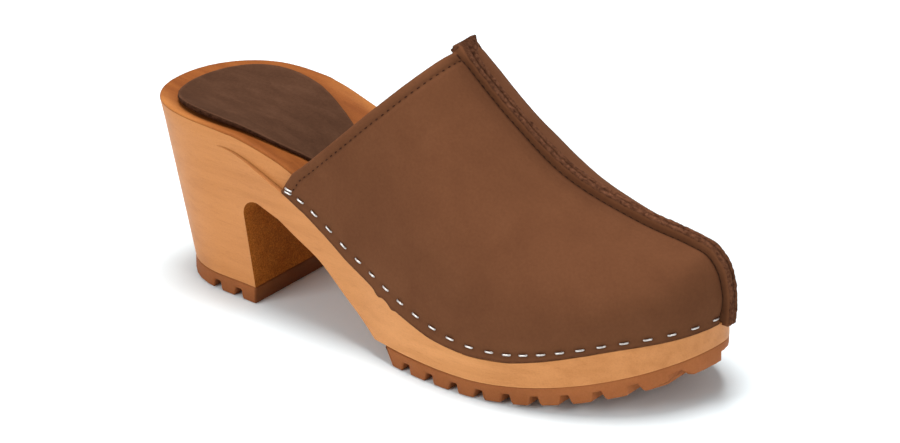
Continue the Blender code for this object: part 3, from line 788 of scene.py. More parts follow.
def make_wood():
    """The sole as a stack of rings, with all below its lower profile cut away."""
    looks = (BED, WOOD, UNDER)
    rings, bed_rings = sole_rings()
    count = len(rings[0])
    faces = grid_faces(len(rings), count, closed=True)
    look_of_face = [0 if i // count < bed_rings - 1 else 1 for i in range(len(faces))] + [1]
    faces.append(tuple(range((len(rings) - 1) * count, len(rings) * count)))
    points = np.concatenate(rings)
    wood = new_piece("wooden_sole", points, faces, looks, "sole_wood", ["wood_sole"], look_of_face)
    profile = underside()
    profile += [(profile[-1][0], -OUTSOLE), (profile[0][0], -OUTSOLE)]
    block = [(x, y, z) for y in (-BALL_WIDTH, BALL_WIDTH) for x, z in profile]
    faces = tube_faces(2, len(profile))
    below = new_mesh("underside_cutter", block, faces, looks, [2] * len(faces))
    cutter = new_object("underside_cutter", below)
    cut = wood.modifiers.new("underside", "BOOLEAN")
    cut.operation = "DIFFERENCE"
    cut.solver = "EXACT"
    cut.object = cutter
    apply_modifiers(wood)
    bpy.data.objects.remove(cutter, do_unlink=True)
    wood.data.shade_smooth()
    wood.data.set_sharp_from_angle(angle=SOLE_SHARP)
    mark_wood(wood.data, rings, bed_rings)


# Painted light and shade of the side at places x along the sole.
def side_painted_light(x):
    return np.column_stack([smooth(SIDE_PAINTED_LIGHT, tone, x / MM) for tone in ("red", "green", "blue")])


def mark_wood(mesh, rings, bed_rings):
    """Paint shade into the rebate's inner corner and light and shade along the side, and make the bed paler
    at the rim, back and inner side.
    """
    tints = np.array([side_painted_light(ring[:, 0]) for ring in rings])
    tints[:bed_rings] = 1.0
    x, y = rings[bed_rings - 1][:, 0], rings[bed_rings - 1][:, 1]
    outer_back = (1 - climb(x / MM, 20.0, 30.0)) * climb(-y / MM, 12.0, 14.0)
    inner_waist = climb(y / MM, 8.0, 14.0) * climb(x / MM, 40.0, 25.0)
    # The bed grows paler toward the rim on its outer back and its inner side.
    rim_paling = np.maximum(outer_back, inner_waist)
    for k in range(bed_rings - 1):
        share = rim_paling * climb(min(1.0, k / (BED_RINGS - 1)), 0.84, 0.16)
        tints[k] += (RIM_TINT - 1) * share[:, None]
    tints[bed_rings - 1] = side_painted_light(x)
    corner = bed_rings + 1
    # Painted shade: a thin dark line in the rebate's inner corner, from where the rebate begins.
    tints[corner] -= (LEDGE_PAINTED_SHADE * climb(rings[corner][:, 0], REBATE_START, 4.0 * MM))[:, None]
    points = np.concatenate(rings) + SHIFT
    places = KDTree(len(points))
    for i, point in enumerate(points):
        places.insert(Vector(point), i)
    places.balance()
    tints = tints.reshape(-1, 3)
    shade = side_painted_light(np.array([v.co.x for v in mesh.vertices]) - SHIFT[0])
    for v in mesh.vertices:
        _, i, away = places.find(v.co)
        if away < SAME_POINT:
            shade[v.index] = tints[i]
    mark(mesh, shade)


# Rubber treads

LUG_ROUND = 0.9 * MM
LUG_ROUND_LEAST = 0.1
LUG_ROUND_END = 190.0 * MM
LUG_EDGE = math.radians(30)
LUG_SHARP = math.radians(40)
TREAD_WELD = 0.01 * MM
TREAD_FLAT = math.radians(0.5)
TREAD_FRONT_PAINTED_SHADE = 0.62
TREAD_TOE_PAINTED_LIGHT = 0.22


def make_tread(node, name):
    """The solid's own form with its edges softened, least at the toe and beside narrow faces; painted shade
    on the heel's front, painted light at the toe.
    """
    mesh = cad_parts[node].data.copy()
    mesh.materials.clear()
    mesh.materials.append(RUBBER)
    bm = bmesh.new()
    bm.from_mesh(mesh)
    bmesh.ops.remove_doubles(bm, verts=bm.verts, dist=TREAD_WELD)
    bmesh.ops.dissolve_limit(bm, angle_limit=TREAD_FLAT, verts=bm.verts, edges=bm.edges)
    bmesh.ops.recalc_face_normals(bm, faces=bm.faces)
    rounding = bm.edges.layers.float.new("bevel_weight_edge")
    for edge in bm.edges:
        if edge.calc_face_angle(0.0) > LUG_EDGE:
            furthest = max(v.co.x for v in edge.verts) - SHIFT[0]
            beside = min(face.calc_area() for face in edge.link_faces) / edge.calc_length()
            roomy = furthest < LUG_ROUND_END and beside > 2 * LUG_ROUND
            edge[rounding] = 1.0 if roomy else LUG_ROUND_LEAST
    bm.to_mesh(mesh)
    bm.free()
    tread = dress(name, mesh, [node])
    soften = tread.modifiers.new("soft_edges", "BEVEL")
    soften.width = LUG_ROUND
    soften.use_clamp_overlap = False
    soften.segments = 3
    soften.limit_method = "WEIGHT"
    apply_modifiers(tread)
    tread.data.shade_smooth()
    tread.data.set_sharp_from_angle(angle=LUG_SHARP)
    # Painted shade on the heel lift's front face, and painted light that grows toward the toe.
    x = np.array([v.co.x for v in tread.data.vertices]) - SHIFT[0]
    at_front = np.abs(x - BREAST_AT + 0.2 * MM) < 0.6 * MM
    mark(tread.data, np.where(at_front, TREAD_FRONT_PAINTED_SHADE, 1 + TREAD_TOE_PAINTED_LIGHT * climb(x / MM, 185.0, 50.0)))


# Leather upper

COLUMN_CROWDING = 0.10
ROW_CROWDING = 1.5
SEAM_POINTS = 400
COLLAPSED = 0.02
SIDEWAYS_AT_SEAM = 0.2
EDGE_STRIP_RINGS = 7
LOW_EDGE_ROUND = 0.2

# The most that the relief takes off the wall; where it goes deeper, the inner face moves in with it
WALL_LOSS = 0.6 * MM

# Depths of the outer face's relief in millimetres
SEAM_TROUGH = 0.15
SEAM_CREASE = 0.15
SEAM_CREASE_TOE = 0.30
SEAM_SWELL = {"lateral": 0.40, "medial": 0.0}
TOE_PINCH = 1.1
INNER_DROP = 0.9
INNER_DROP_TOE = 1.1
HEM_GROOVE = 0.40
HEM_ROLL = 0.15
STAPLE_DENT = 0.38
EDGE_SWELL = 0.22
BROAD_WAVES = 0.30
FINE_WAVES = 0.10
CUT_WAVES_BROAD = 0.22
CUT_WAVES_FINE = 0.12
CUT_WAVES_REACH = 3.5

# Shares of its tone that painted shade takes away in the relief's creases, troughs, hem groove, toe pinch and
# staple dents, and along its lower edge
CREASE_PAINTED_SHADE = 0.48
CREASE_PAINTED_SHADE_TOE = 0.35
TROUGH_PAINTED_SHADE = 0.12
HEM_GROOVE_PAINTED_SHADE = 0.12
PINCH_PAINTED_SHADE = 0.6
DENT_PAINTED_SHADE = 0.40
EDGE_CUT_AND_PAINTED_SHADOW = 0.50
DARKEST = 0.12


def shares_of(points):
    """Distance along a polyline at each of its points, as shares of its length, and that length."""
    run = np.linalg.norm(np.diff(points, axis=0), axis=1)
    along = np.concatenate([[0.0], np.cumsum(run)])
    return along / along[-1], along[-1]


def along_path(points, shares):
    """Points at the given shares of a polyline's length."""
    at, _ = shares_of(points)
    return np.column_stack([np.interp(shares, at, points[:, k]) for k in range(points.shape[1])])


def edge_path(side):
    """Plan path of the upper's outer face at its lower edge, corner of the collar to the seam at the toe."""
    places = list(np.linspace(CORNER_AT, BALL_AT, 2 * SIDE_STEPS))[:-1]
    places += [toe_x(a) for a in np.linspace(0, RIGHT_ANGLE, 2 * TOE_ARC_STEPS)]
    outline = [(x, outline_y(x, side)) for x in places]
    before_seam = [(x, y) for x, y in outline if (y - SEAM_TOE_Y) * SIDES[side] > 0]
    points = np.array(before_seam + [(SOLE_LENGTH, SEAM_TOE_Y)])
    run = np.gradient(points, axis=0)
    normal = unit(np.column_stack([run[:, 1], -run[:, 0]]) * -SIDES[side])
    normal[-1] = (1.0, 0.0)
    return points + PROUD * normal


def seam_path():
    """The middle line of the upper's outer face, collar to toe."""
    row = np.linspace(SEAM["row"][0], SEAM["row"][-1], SEAM_POINTS)
    x = (SOLE_LENGTH + PROUD) * smooth(SEAM, "along", row)
    y = TOE_INWARD * smooth(SEAM, "inward", row)
    z = INSTEP_HEIGHT * smooth(SEAM, "height", row)
    return np.column_stack([x, y, z])


def upper_columns():
    """Shares of the middle line at the columns of points, closer together at the collar and the toe."""
    _, length = shares_of(seam_path())
    turn = np.linspace(0, 1, UPPER_COLUMNS)
    crowded = turn - COLUMN_CROWDING * np.sin(2 * math.pi * turn) / math.pi
    start = COLLAR_INSET / length
    return start + (1 - start) * crowded


def half_upper(side):
    """One half of the upper's outer face as a grid: a row of points per column, lower edge to seam."""
    columns = upper_columns()
    base = along_path(edge_path(side), smooth(SECTIONS, "edge", columns))
    top = along_path(seam_path(), columns)
    power = smooth(SECTIONS, "power", columns)
    bulge = BALL_WIDTH * smooth(SECTIONS, "bulge", columns) * SIDES[side]
    level = smooth(SECTIONS, "level", columns)
    angles = RIGHT_ANGLE * (1 - np.linspace(1, 0, DOME_ROWS) ** ROW_CROWDING)
    grid = []
    for i in range(len(columns)):
        x, y = base[i]
        low = ledge_height(x) + LEDGE_ROUND + GAP - EDGE_DROP
        lean = COLLAR_SLOPE * (1 - level[i]) ** SKIRT_LEAN_POWER
        skirt_x = x + lean * (rim_height(x) + SKIRT_OVER_RIM - low)
        skirt_y = y + outline_y(skirt_x, side) - outline_y(x, side)
        skirt_z = rim_height(skirt_x) + SKIRT_OVER_RIM
        share = np.linspace(0, 1, SKIRT_ROWS)[:-1, None] ** ROW_CROWDING
        skirt = np.array([x, y, low]) * (1 - share) + np.array([skirt_x, skirt_y, skirt_z]) * share
        across = 1 - np.cos(angles) ** (2 / power[i])
        rise = np.sin(angles) ** (2 / power[i])
        across[-1] = 1.0
        bowed = rise ** COLLAR_BOW
        along = bowed + (across - bowed) * level[i]
        dome = np.column_stack([
            skirt_x + (top[i][0] - skirt_x) * along,
            skirt_y + (top[i][1] - skirt_y) * across + bulge[i] * np.sin(math.pi * rise),
            skirt_z + (top[i][2] - skirt_z) * rise,
        ])
        grid.append(np.concatenate([skirt, dome]))
    return np.array(grid)


def grid_normals(grid, side):
    """Unit normals of a grid, out of the shoe; a collapsed point takes the one of the column before."""
    along = np.gradient(grid, axis=0)
    across = np.gradient(grid, axis=1)
    normal = np.cross(across, along) * SIDES[side]
    size = np.linalg.norm(normal, axis=2)
    for i in range(1, len(grid)):
        thin = size[i] < COLLAPSED * np.median(size)
        normal[i, thin] = normal[i - 1, thin]
        size[i, thin] = size[i - 1, thin]
    return normal / size[:, :, None]


def staple_row(side):
    """Places and directions of the staples of one side: middle points and runs."""
    plan = edge_path(side)
    share, _ = shares_of(plan)
    path = np.column_stack([plan, ledge_height(plan[:, 0]) + MM * smooth(STAPLE_ROW, "over_edge", share)])
    _, length = shares_of(path)
    spots = [0.0]
    while len(spots) < STAPLES_PER_SIDE:
        spots.append(spots[-1] + float(smooth(STAPLE_ROW, "step", spots[-1])))
    first = STAPLE_FIRST / length
    last = 1 - STAPLE_LAST / length
    shares = first + (last - first) * np.array(spots) / spots[-1]
    half = STAPLE_LENGTH / 2 / length
    begin = along_path(path, shares - half)
    end = along_path(path, shares + half)
    return (begin + end) / 2, unit(end - begin)


def distance_to(path, points, chunk=40):
    """Least distance of each point to a polyline's points, a chunk of them at a time."""
    best = np.full(len(points), 1.0)
    for start in range(0, len(path), chunk):
        gaps = np.linalg.norm(points[:, None, :] - path[None, start:start + chunk, :], axis=2)
        best = np.minimum(best, gaps.min(axis=1))
    return best


def seam_flare(from_collar):
    """How much wider than its plain width the raised seam is, at a distance from the collar."""
    return SEAM_FLARE * (1 - ease(from_collar / SEAM_FLARE_RUN))


def measures(grid, line):
    """Of each point of a half, in mm: how far from the seam's foot, from the collar and over the edge."""
    step = np.linalg.norm(np.diff(grid, axis=0), axis=2)
    from_collar = np.concatenate([np.zeros((1, grid.shape[1])), np.cumsum(step, axis=0)]) + COLLAR_INSET
    to_seam = distance_to(line, grid.reshape(-1, 3)).reshape(grid.shape[:2])
    to_foot = to_seam - SEAM_FOOT - seam_flare(from_collar)
    over_edge = grid[:, :, 2] - grid[:, :1, 2]
    return to_foot / MM, from_collar / MM, over_edge / MM


def relief(grid, side, line):
    """Small depths of the outer face: seam and hem troughs, staple dents, unevenness; with painted shade in
    the hollows and along the lower edge.
    """
    flat = grid.reshape(-1, 3)
    x = grid[:, :, 0] / MM
    to_foot, from_collar, over_edge = measures(grid, line)
    toe = climb(x, 185.0, 45.0)
    low = hump(over_edge / 4.5) * climb(x, 225.0, 8.0)
    trough = -SEAM_TROUGH * (1 - toe) * band(to_foot, 0.6, 2.2)
    lift = trough - (SEAM_CREASE + SEAM_CREASE_TOE * toe) * hump(to_foot / 0.6)
    swell = SEAM_SWELL[side] * (1 - 0.6 * toe) * band(to_foot, 7.0, 3.5)
    lift += swell - TOE_PINCH * low * band(to_foot, 0.5, 1.0)
    if side == "medial":
        lower = (1 - toe) * climb(from_collar, 30.0, 40.0) * climb(to_foot, -2.0, 5.0)
        lift -= (INNER_DROP + INNER_DROP_TOE * climb(x, 155.0, 20.0)) * lower * band(to_foot, 13.0, 12.0)
    above = climb(over_edge, 2.0, 3.0) * ease(to_foot / 2.0)
    groove = band(from_collar, HEM_STITCH_AT / MM, 0.75) * above
    lift += -HEM_GROOVE * groove + HEM_ROLL * above * band(from_collar, 2.0, 1.2)
    # Painted shade in the seam's crease and trough, the hem's groove, the toe's pinch and, below, the staple
    # dents.
    shade = 1 - (CREASE_PAINTED_SHADE + CREASE_PAINTED_SHADE_TOE * toe) * hump(to_foot / 0.65)
    shade -= TROUGH_PAINTED_SHADE * (1 - toe) * band(to_foot, 2.0, 4.0)
    shade = shade - HEM_GROOVE_PAINTED_SHADE * groove - PINCH_PAINTED_SHADE * low * band(to_foot, 0.4, 1.1)
    for middle, run in zip(*staple_row(side)):
        away = (flat - middle) / MM
        along = away @ run
        across = np.linalg.norm(away - along[:, None] * run, axis=1)
        dent = (hump(along / 2.6) * hump(across / 1.1)).reshape(lift.shape)
        lift -= STAPLE_DENT * dent
        shade = shade - DENT_PAINTED_SHADE * dent
    lift += EDGE_SWELL * band(over_edge, 8.0, 4.0)
    lift += BROAD_WAVES * rough(flat, 26.0, 3.0).reshape(lift.shape) * climb(over_edge, 3.0, 8.0)
    lift += FINE_WAVES * rough(flat, 90.0, 7.0).reshape(lift.shape)
    # A thin dark line along the lower edge: partly its cut edge, partly painted shadow of the gap under it.
    shade = shade - EDGE_CUT_AND_PAINTED_SHADOW * hump(over_edge / 0.45)
    return lift * MM, np.clip(shade, DARKEST, 1.0), from_collar, over_edge


def wavy_edge(grid, side):
    """Move the cut lower edge a little up and down, with small notches on the outer side."""
    edge = grid[:, 0]
    drop = CUT_WAVES_BROAD * rough(edge, 130.0, 11.0) + CUT_WAVES_FINE * rough(edge, 420.0, 13.0)
    if side == "lateral":
        for along, half, depth in zip(*NICKS.values()):
            drop = drop + depth * band(edge[:, 0] / MM, along, half)
    over = (grid[:, :, 2] - grid[:, :1, 2]) / MM
    moved = grid.copy()
    moved[:, :, 2] += MM * drop[:, None] * np.clip(1 - over / CUT_WAVES_REACH, 0, 1) ** 2
    return moved


def draw_collar(grid, line):
    """Draw a half's collar back along the seam, where its edge rises to the raised seam's end."""
    to_foot, from_collar, _ = measures(grid, line)
    near = 1 - climb(to_foot * MM, COLLAR_PULL_FROM, COLLAR_PULL_WIDE)
    pull = COLLAR_PULL * near * (1 - ease(from_collar * MM / COLLAR_PULL_DEEP))
    return grid - unit(line[4] - line[0]) * pull[:, :, None]


def make_upper():
    """Both halves of the leather as one closed sheet; gives its faces, its normals and the seam's line."""
    halves = {side: half_upper(side) for side in SIDES}
    line = np.concatenate([seam_path(), halves["lateral"][-1][::-1]])
    halves["medial"][:, :-1] = draw_collar(halves["medial"], line)[:, :-1]
    normals = {side: grid_normals(halves[side], side) for side in SIDES}
    for key in ((slice(None), -1), (-1, slice(None))):
        shared = normals["lateral"][key] + normals["medial"][key]
        shared[:, 1] *= SIDEWAYS_AT_SEAM
        for side in SIDES:
            normals[side][key] = unit(shared)
    sheets = {}
    points, faces, look_of_face, shades = [], [], [], []
    for side in SIDES:
        grid = wavy_edge(halves[side], side)
        lift, shade, from_collar, over_edge = relief(halves[side], side, line)
        hem = (1 - climb(from_collar, HEM / MM, 1.0)) * climb(over_edge, 8.0, 3.0)
        depth = WALL + (HEM_THICKNESS - WALL) * hem - np.minimum(lift + WALL_LOSS, 0.0)
        sheets[side] = (grid + normals[side] * lift[:, :, None], grid - normals[side] * depth[:, :, None])
        shades += [shade.ravel(), np.ones(shade.size)]
        for k, sheet in enumerate(sheets[side]):
            made = grid_faces(sheet.shape[0], sheet.shape[1], len(points))
            points += list(sheet.reshape(-1, 3))
            faces += made
            look_of_face += [k] * len(made)
    outer_rim, inner_rim = (boundary(*pair) for pair in zip(sheets["lateral"], sheets["medial"]))
    deeper = boundary(inset(sheets["lateral"][0]), inset(sheets["medial"][0]))
    columns = len(halves["lateral"])
    strip, strip_faces, strip_looks = rim_strip(outer_rim, inner_rim, deeper, columns, len(points))
    shades.append(np.ones(len(strip)))
    points = np.array(points + strip)
    looks = (LEATHER, FLESH, RAW)
    new_piece("leather_upper", points, faces + strip_faces, looks, "upper_leather", ["upper"],
              look_of_face + strip_looks, np.concatenate(shades))
    return sheets, normals, line


def inset(grid):
    """The grid's points one step in from its collar and lower edges."""
    moved = grid.copy()
    moved[0] = grid[2]
    moved[:, 0] = moved[:, 2]
    return moved


def boundary(lateral, medial):
    """The upper's free edge as one closed loop: lower edge of both halves, then the collar."""
    low = list(lateral[:, 0]) + list(medial[::-1, 0])[1:]
    collar = list(medial[0, 1:]) + list(lateral[0, ::-1])[1:-1]
    return np.array(low + collar)


def rim_strip(outer, inner, deeper, columns, start):
    """A strip that closes the sheet between its outer and inner face, round at the collar, flat below."""
    count = len(outer)
    low = 2 * columns - 1
    away = outer - deeper
    away /= np.maximum(np.linalg.norm(away, axis=1), 1e-9)[:, None]
    middle = (outer + inner) / 2
    half = (outer - inner) / 2
    reach = np.where(np.arange(count) < low, LOW_EDGE_ROUND * np.linalg.norm(half, axis=1), COLLAR_INSET)
    rings = []
    for angle in np.linspace(0, math.pi, EDGE_STRIP_RINGS):
        rings.append(middle + half * math.cos(angle) + away * (reach * math.sin(angle))[:, None])
    faces = grid_faces(len(rings), count, start, closed=True)
    looks = [2 if f % count < low - 1 else 0 for f in range(len(faces))]
    return list(np.concatenate(rings)), faces, looks


# Raised seam

RIDGE_STEP = 0.5 * MM
RIDGE_SMOOTHING = 6
RIDGE_SHARP = math.radians(50)
PUFF_RUN = 1.6 * MM
PUFF_LEAST = 0.55
PUFF_WIDTH_SHARE = 0.2
RAW_END = 1.5 * MM
RAW_GAP_HALF = 0.4 * MM
RAW_GAP_PAINTED_SHADE = 0.35
RIDGE_FOOT_PAINTED_SHADE = 0.15
RIDGE_FOLD_PAINTED_HIGHLIGHT = 0.28

# Unevenness of the raw edges in millimetres, and how much more of it there is at the collar
RAW_SHAKE_FINE = 0.30
RAW_SHAKE_BROAD = 0.24
RAW_SHAKE_END = 1.2
RAW_SHAKE_RUN = 4.0 * MM
RIDGE_SWAY = 0.18


def quarter_round(t):
    """The rise of a quarter circle from 0 to 1."""
    return np.sqrt(np.clip(1 - (1 - np.clip(t, 0, 1)) ** 2, 0, 1))


def both_sides(column, sign=1):
    """A column of the ridge's half section, out from one foot over the middle and down to the other."""
    return np.concatenate([sign * RIDGE[column], RIDGE[column][-2::-1]])


def make_ridge(line):
    """The two raw edges of the outward seam, from past the collar to just under the lower edge at the toe."""
    first = line[0] - line[1]
    last = line[-1] - line[-2]
    line = np.concatenate([
        [line[0] + first * SEAM_OVERHANG / np.linalg.norm(first)],
        line,
        [line[-1] + last * SEAM_HANG / np.linalg.norm(last)],
    ])
    _, length = shares_of(line)
    shares = np.linspace(0, 1, int(length / RIDGE_STEP))
    path = along_path(line, shares)
    run = np.gradient(path, axis=0)
    for _ in range(RIDGE_SMOOTHING):
        run[1:-1] = (run[:-2] + run[1:-1] + run[2:]) / 3
    run = unit(run)
    out = unit(np.cross((0.0, -1.0, 0.0), run))
    wide = np.cross(out, run)
    from_start = shares * length
    from_end = (1 - shares) * length
    across = both_sides("across", -1) * MM
    height = both_sides("height") * MM
    raw = both_sides("raw")
    flare = 1 + seam_flare(from_start - SEAM_OVERHANG) / SEAM_HALF_WIDTH
    lean = SEAM_END_LEAN * (1 - ease(from_start / SEAM_LEAN_RUN))
    wider = 1 - ease(from_start / SEAM_FLARE_RUN)
    end_share = SEAM_END_HEIGHT / SEAM_HEIGHT
    drop = end_share + (1 - end_share) * quarter_round(from_end / SEAM_END_RUN)
    drop = drop * (1 - SEAM_LOW * (1 - climb(from_start, SEAM_LOW_FROM, SEAM_LOW_RUN)))
    puff = PUFF_LEAST + (1 - PUFF_LEAST) * quarter_round(from_start / PUFF_RUN)
    points = []
    for i in range(len(path)):
        spread_out = np.where(across > 0, 1 + SEAM_SPREAD * wider[i], 1 - SEAM_PINCH * wider[i])
        side_step = across * flare[i] * (1 - PUFF_WIDTH_SHARE + PUFF_WIDTH_SHARE * puff[i]) * spread_out
        rise = np.where(height > 0, height * drop[i] * puff[i], height)
        turned = side_step - rise * math.tan(lean[i])
        points.append(path[i] + wide[i] * turned[:, None] + out[i] * rise[:, None])
    points = np.array(points)
    flat = points.reshape(-1, 3)
    ends = 1 + RAW_SHAKE_END * (1 - ease(from_start / RAW_SHAKE_RUN))
    shake = RAW_SHAKE_FINE * rough(flat, 900.0, 17.0) + RAW_SHAKE_BROAD * rough(flat, 300.0, 19.0)
    shake = shake.reshape(points.shape[:2]) * raw * ends[:, None]
    sway = RIDGE_SWAY * rough(path, 70.0, 23.0)
    points += out[:, None, :] * (shake * MM)[:, :, None]
    tall = height / MM
    points += wide[:, None, :] * (sway[:, None] * ease(tall / 2.0)[None, :] * MM)[:, :, None]
    count = points.shape[1]
    looks = []
    for start in from_start[:-1]:
        for j in range(count):
            looks.append(1 if (raw[j] and raw[(j + 1) % count]) or start < RAW_END else 0)
    between = np.abs(across) < RAW_GAP_HALF
    # Painted shade at the ridge's foot and in the gap between its raw edges; a painted highlight along its
    # folds.
    foot = 1 - RIDGE_FOOT_PAINTED_SHADE * hump(tall / 0.6) - RAW_GAP_PAINTED_SHADE * band(tall, 2.7, 0.5) * between
    foot = foot + RIDGE_FOLD_PAINTED_HIGHLIGHT * band(tall, 2.2, 0.5) * (raw == 0)
    later = 0.80 + 0.20 * ease(from_start / (15.0 * MM)) + 0.15 * ease(from_start / (110.0 * MM))
    shade = (foot[None, :] * np.where(raw[None, :] > 0, later[:, None], 1.0)).ravel()
    ridge = new_piece("seam_ridge", points.reshape(-1, 3), tube_faces(len(points), count), (LEATHER, RAW),
                      "upper_leather", (), looks + [1, 1], shade)
    ridge.data.set_sharp_from_angle(angle=RIDGE_SHARP)


# Stitches and staples

SEAM_STITCH_AT = 0.25
THREAD_HALF_WIDTH = 0.26 * MM
THREAD_HALF_THICK = 0.20 * MM
HEM_THREAD = np.array([0.8, 0.85, 1.0])
SEAM_THREAD = np.array([1.25, 1.0, 1.0])
STAPLE_HALF_THICK = 0.28 * MM
NEARBY = 0.004

# Half of a stitch, from an end to its middle, in millimetres: along and out of the leather
STITCH_HALF = [(-0.70, -0.5), (-0.62, -0.10), (-0.35, 0.06), (0.0, 0.12)]


def surface_line(sheet, normals, measure, at, keep):
    """Points and normals on a sheet where measure first passes at, one per row that keep allows."""
    points = []
    facing = []
    for values, row, normal, wanted in zip(measure, sheet, normals, keep):
        if not wanted:
            continue
        beyond = np.nonzero(values > at)[0]
        if len(beyond) == 0 or beyond[0] == 0:
            continue
        k = beyond[0]
        t = (at - values[k - 1]) / (values[k] - values[k - 1])
        points.append(row[k - 1] * (1 - t) + row[k] * t)
        facing.append(normal[k - 1] * (1 - t) + normal[k] * t)
    return np.array(points), np.array(facing)


def spread(points, facing, step):
    """Even places along a line on the surface: points, runs and normals."""
    at, length = shares_of(points)
    shares = np.arange(step / 2, length, step) / length
    ahead = along_path(points, np.clip(shares + NEARBY, 0, 1))
    behind = along_path(points, np.clip(shares - NEARBY, 0, 1))
    run = unit(ahead - behind)
    normal = np.column_stack([np.interp(shares, at, facing[:, k]) for k in range(3)])
    normal -= run * (normal * run).sum(axis=1)[:, None]
    return along_path(points, shares), run, unit(normal)


def bent_wire(half_path, half_wide, half_thick, sides):
    """A bar swept along a path in its own along-and-out plane, given by its first half in millimetres."""
    path = np.array(half_path + [(-along, out) for along, out in reversed(half_path[:-1])]) * MM
    run = unit(np.gradient(path, axis=0))
    points = []
    for (along, out), (u, v) in zip(path, run):
        for angle in np.linspace(0, 2 * math.pi, sides, endpoint=False):
            lift = half_thick * math.cos(angle)
            points.append((along - v * lift, half_wide * math.sin(angle), out + u * lift))
    return np.array(points), tube_faces(len(path), sides)


def scatter(template, faces, places):
    """Copies of a template at (middle, run, normal) places, as one set of points and faces."""
    points = []
    all_faces = []
    for middle, run, normal in places:
        start = len(points) * len(template)
        across = np.cross(normal, run)
        points.append(middle + template[:, :1] * run + template[:, 1:2] * across + template[:, 2:] * normal)
        all_faces += [tuple(start + v for v in f) for f in faces]
    return np.concatenate(points), all_faces


def make_stitches(sheets, normals, line):
    """Dark threads along the hem and along both feet of the raised seam."""
    hem = []
    seam = []
    for side in SIDES:
        outer = sheets[side][0]
        to_foot, from_collar, over_edge = measures(outer, line)
        keep = [over_edge[0, j] > 2.5 and to_foot[4, j] > 0.6 for j in range(outer.shape[1])]
        found = surface_line(outer.transpose(1, 0, 2), normals[side].transpose(1, 0, 2), from_collar.T,
                             HEM_STITCH_AT / MM, keep)
        hem += list(zip(*spread(*found, HEM_STITCH_STEP)))
        keep = [values.min() < SEAM_STITCH_AT and values[0] > SEAM_STITCH_AT for values in to_foot]
        found = surface_line(outer, normals[side], -to_foot, -SEAM_STITCH_AT, keep)
        seam += list(zip(*spread(*found, SEAM_STITCH_STEP)))
    thread, faces = bent_wire(STITCH_HALF, THREAD_HALF_WIDTH, THREAD_HALF_THICK, 6)
    for name, scale, places in (("hem_stitches", HEM_THREAD, hem), ("seam_stitches", SEAM_THREAD, seam)):
        new_piece(name, *scatter(thread * scale, faces, places), (THREAD,), "upper_leather")


def make_staples(sheets, normals):
    """Wire staples pressed into the leather, two side by side at the collar's corners."""
    places = []
    names = []
    for side in SIDES:
        outer = sheets[side][0].reshape(-1, 3)
        facing = normals[side].reshape(-1, 3)
        middles, runs = staple_row(side)
        row = [(middle, run, 0.0) for middle, run in zip(middles, runs)]
        row.append((middles[0], runs[0], DOUBLE_STAPLE_STEP))
        for number, (middle, run, raised) in enumerate(row, 1):
            nearest = np.argmin(np.linalg.norm(outer - middle, axis=1))
            normal = unit(facing[nearest] - run * (facing[nearest] @ run))
            up = np.cross(run, normal)
            up *= np.sign(up[2])
            middle = middle + normal * ((outer[nearest] - middle) @ normal) + up * raised
            places.append((middle, run, normal))
            names.append(f"staple_{side}_{number:02d}")
    reach = (STAPLE_LENGTH - STAPLE_SHORTER) / 2 / MM
    half = [(-reach, -1.2), (-reach, -0.1), (-reach + 0.08, 0.22), (-reach + 0.35, 0.42), (-reach / 2, 0.50)]
    wire, faces = bent_wire(half + [(0.0, 0.52)], STAPLE_WIDTH / 2, STAPLE_HALF_THICK, 8)
    new_piece("staples", *scatter(wire, faces, places), (STEEL,), "staple_steel", names)


# Heel pad

PAD_STEPS = 150
PAD_SPINE = (0.2, 0.85)
PAD_FRAY = 0.25 * MM
PAD_SWELL = 0.12 * MM
PAD_CUT_DARK = 0.5
PAD_EDGE_PAINTED_HIGHLIGHT = 1.25

# Rings of the pad's cut side: how far in from its outline in millimetres, and height as a share of thickness
PAD_SIDE = ((0.35, 0.0), (0.0, 0.25), (0.05, 0.75), (0.25, 0.95), (0.7, 1.0))

# Rings of its underside and of its top, as shares of the way from its spine to its outline
PAD_UNDER = (0.0, 0.5)
PAD_TOP = (0.93, 0.84, 0.72, 0.58, 0.42, 0.25, 0.1, 0.0)


def bed_height(x, y):
    """The foot's bed at a plan point behind the ball."""
    side = "lateral" if y < 0 else "medial"
    inset_by = RIM_ROUND + rebate_depth(x, REBATE_END_SLANT)
    across = abs(y) / (abs(outline_y(max(x, HEEL_ROUND), side)) - inset_by)
    if x < HEEL_ROUND:
        turn = (HEEL_ROUND - x) / (HEEL_ROUND - RIM_ROUND)
        across = (across ** HEEL_POWER + turn ** HEEL_POWER) ** (1 / HEEL_POWER)
    return float(seat_height(x, min(1.0, across)))


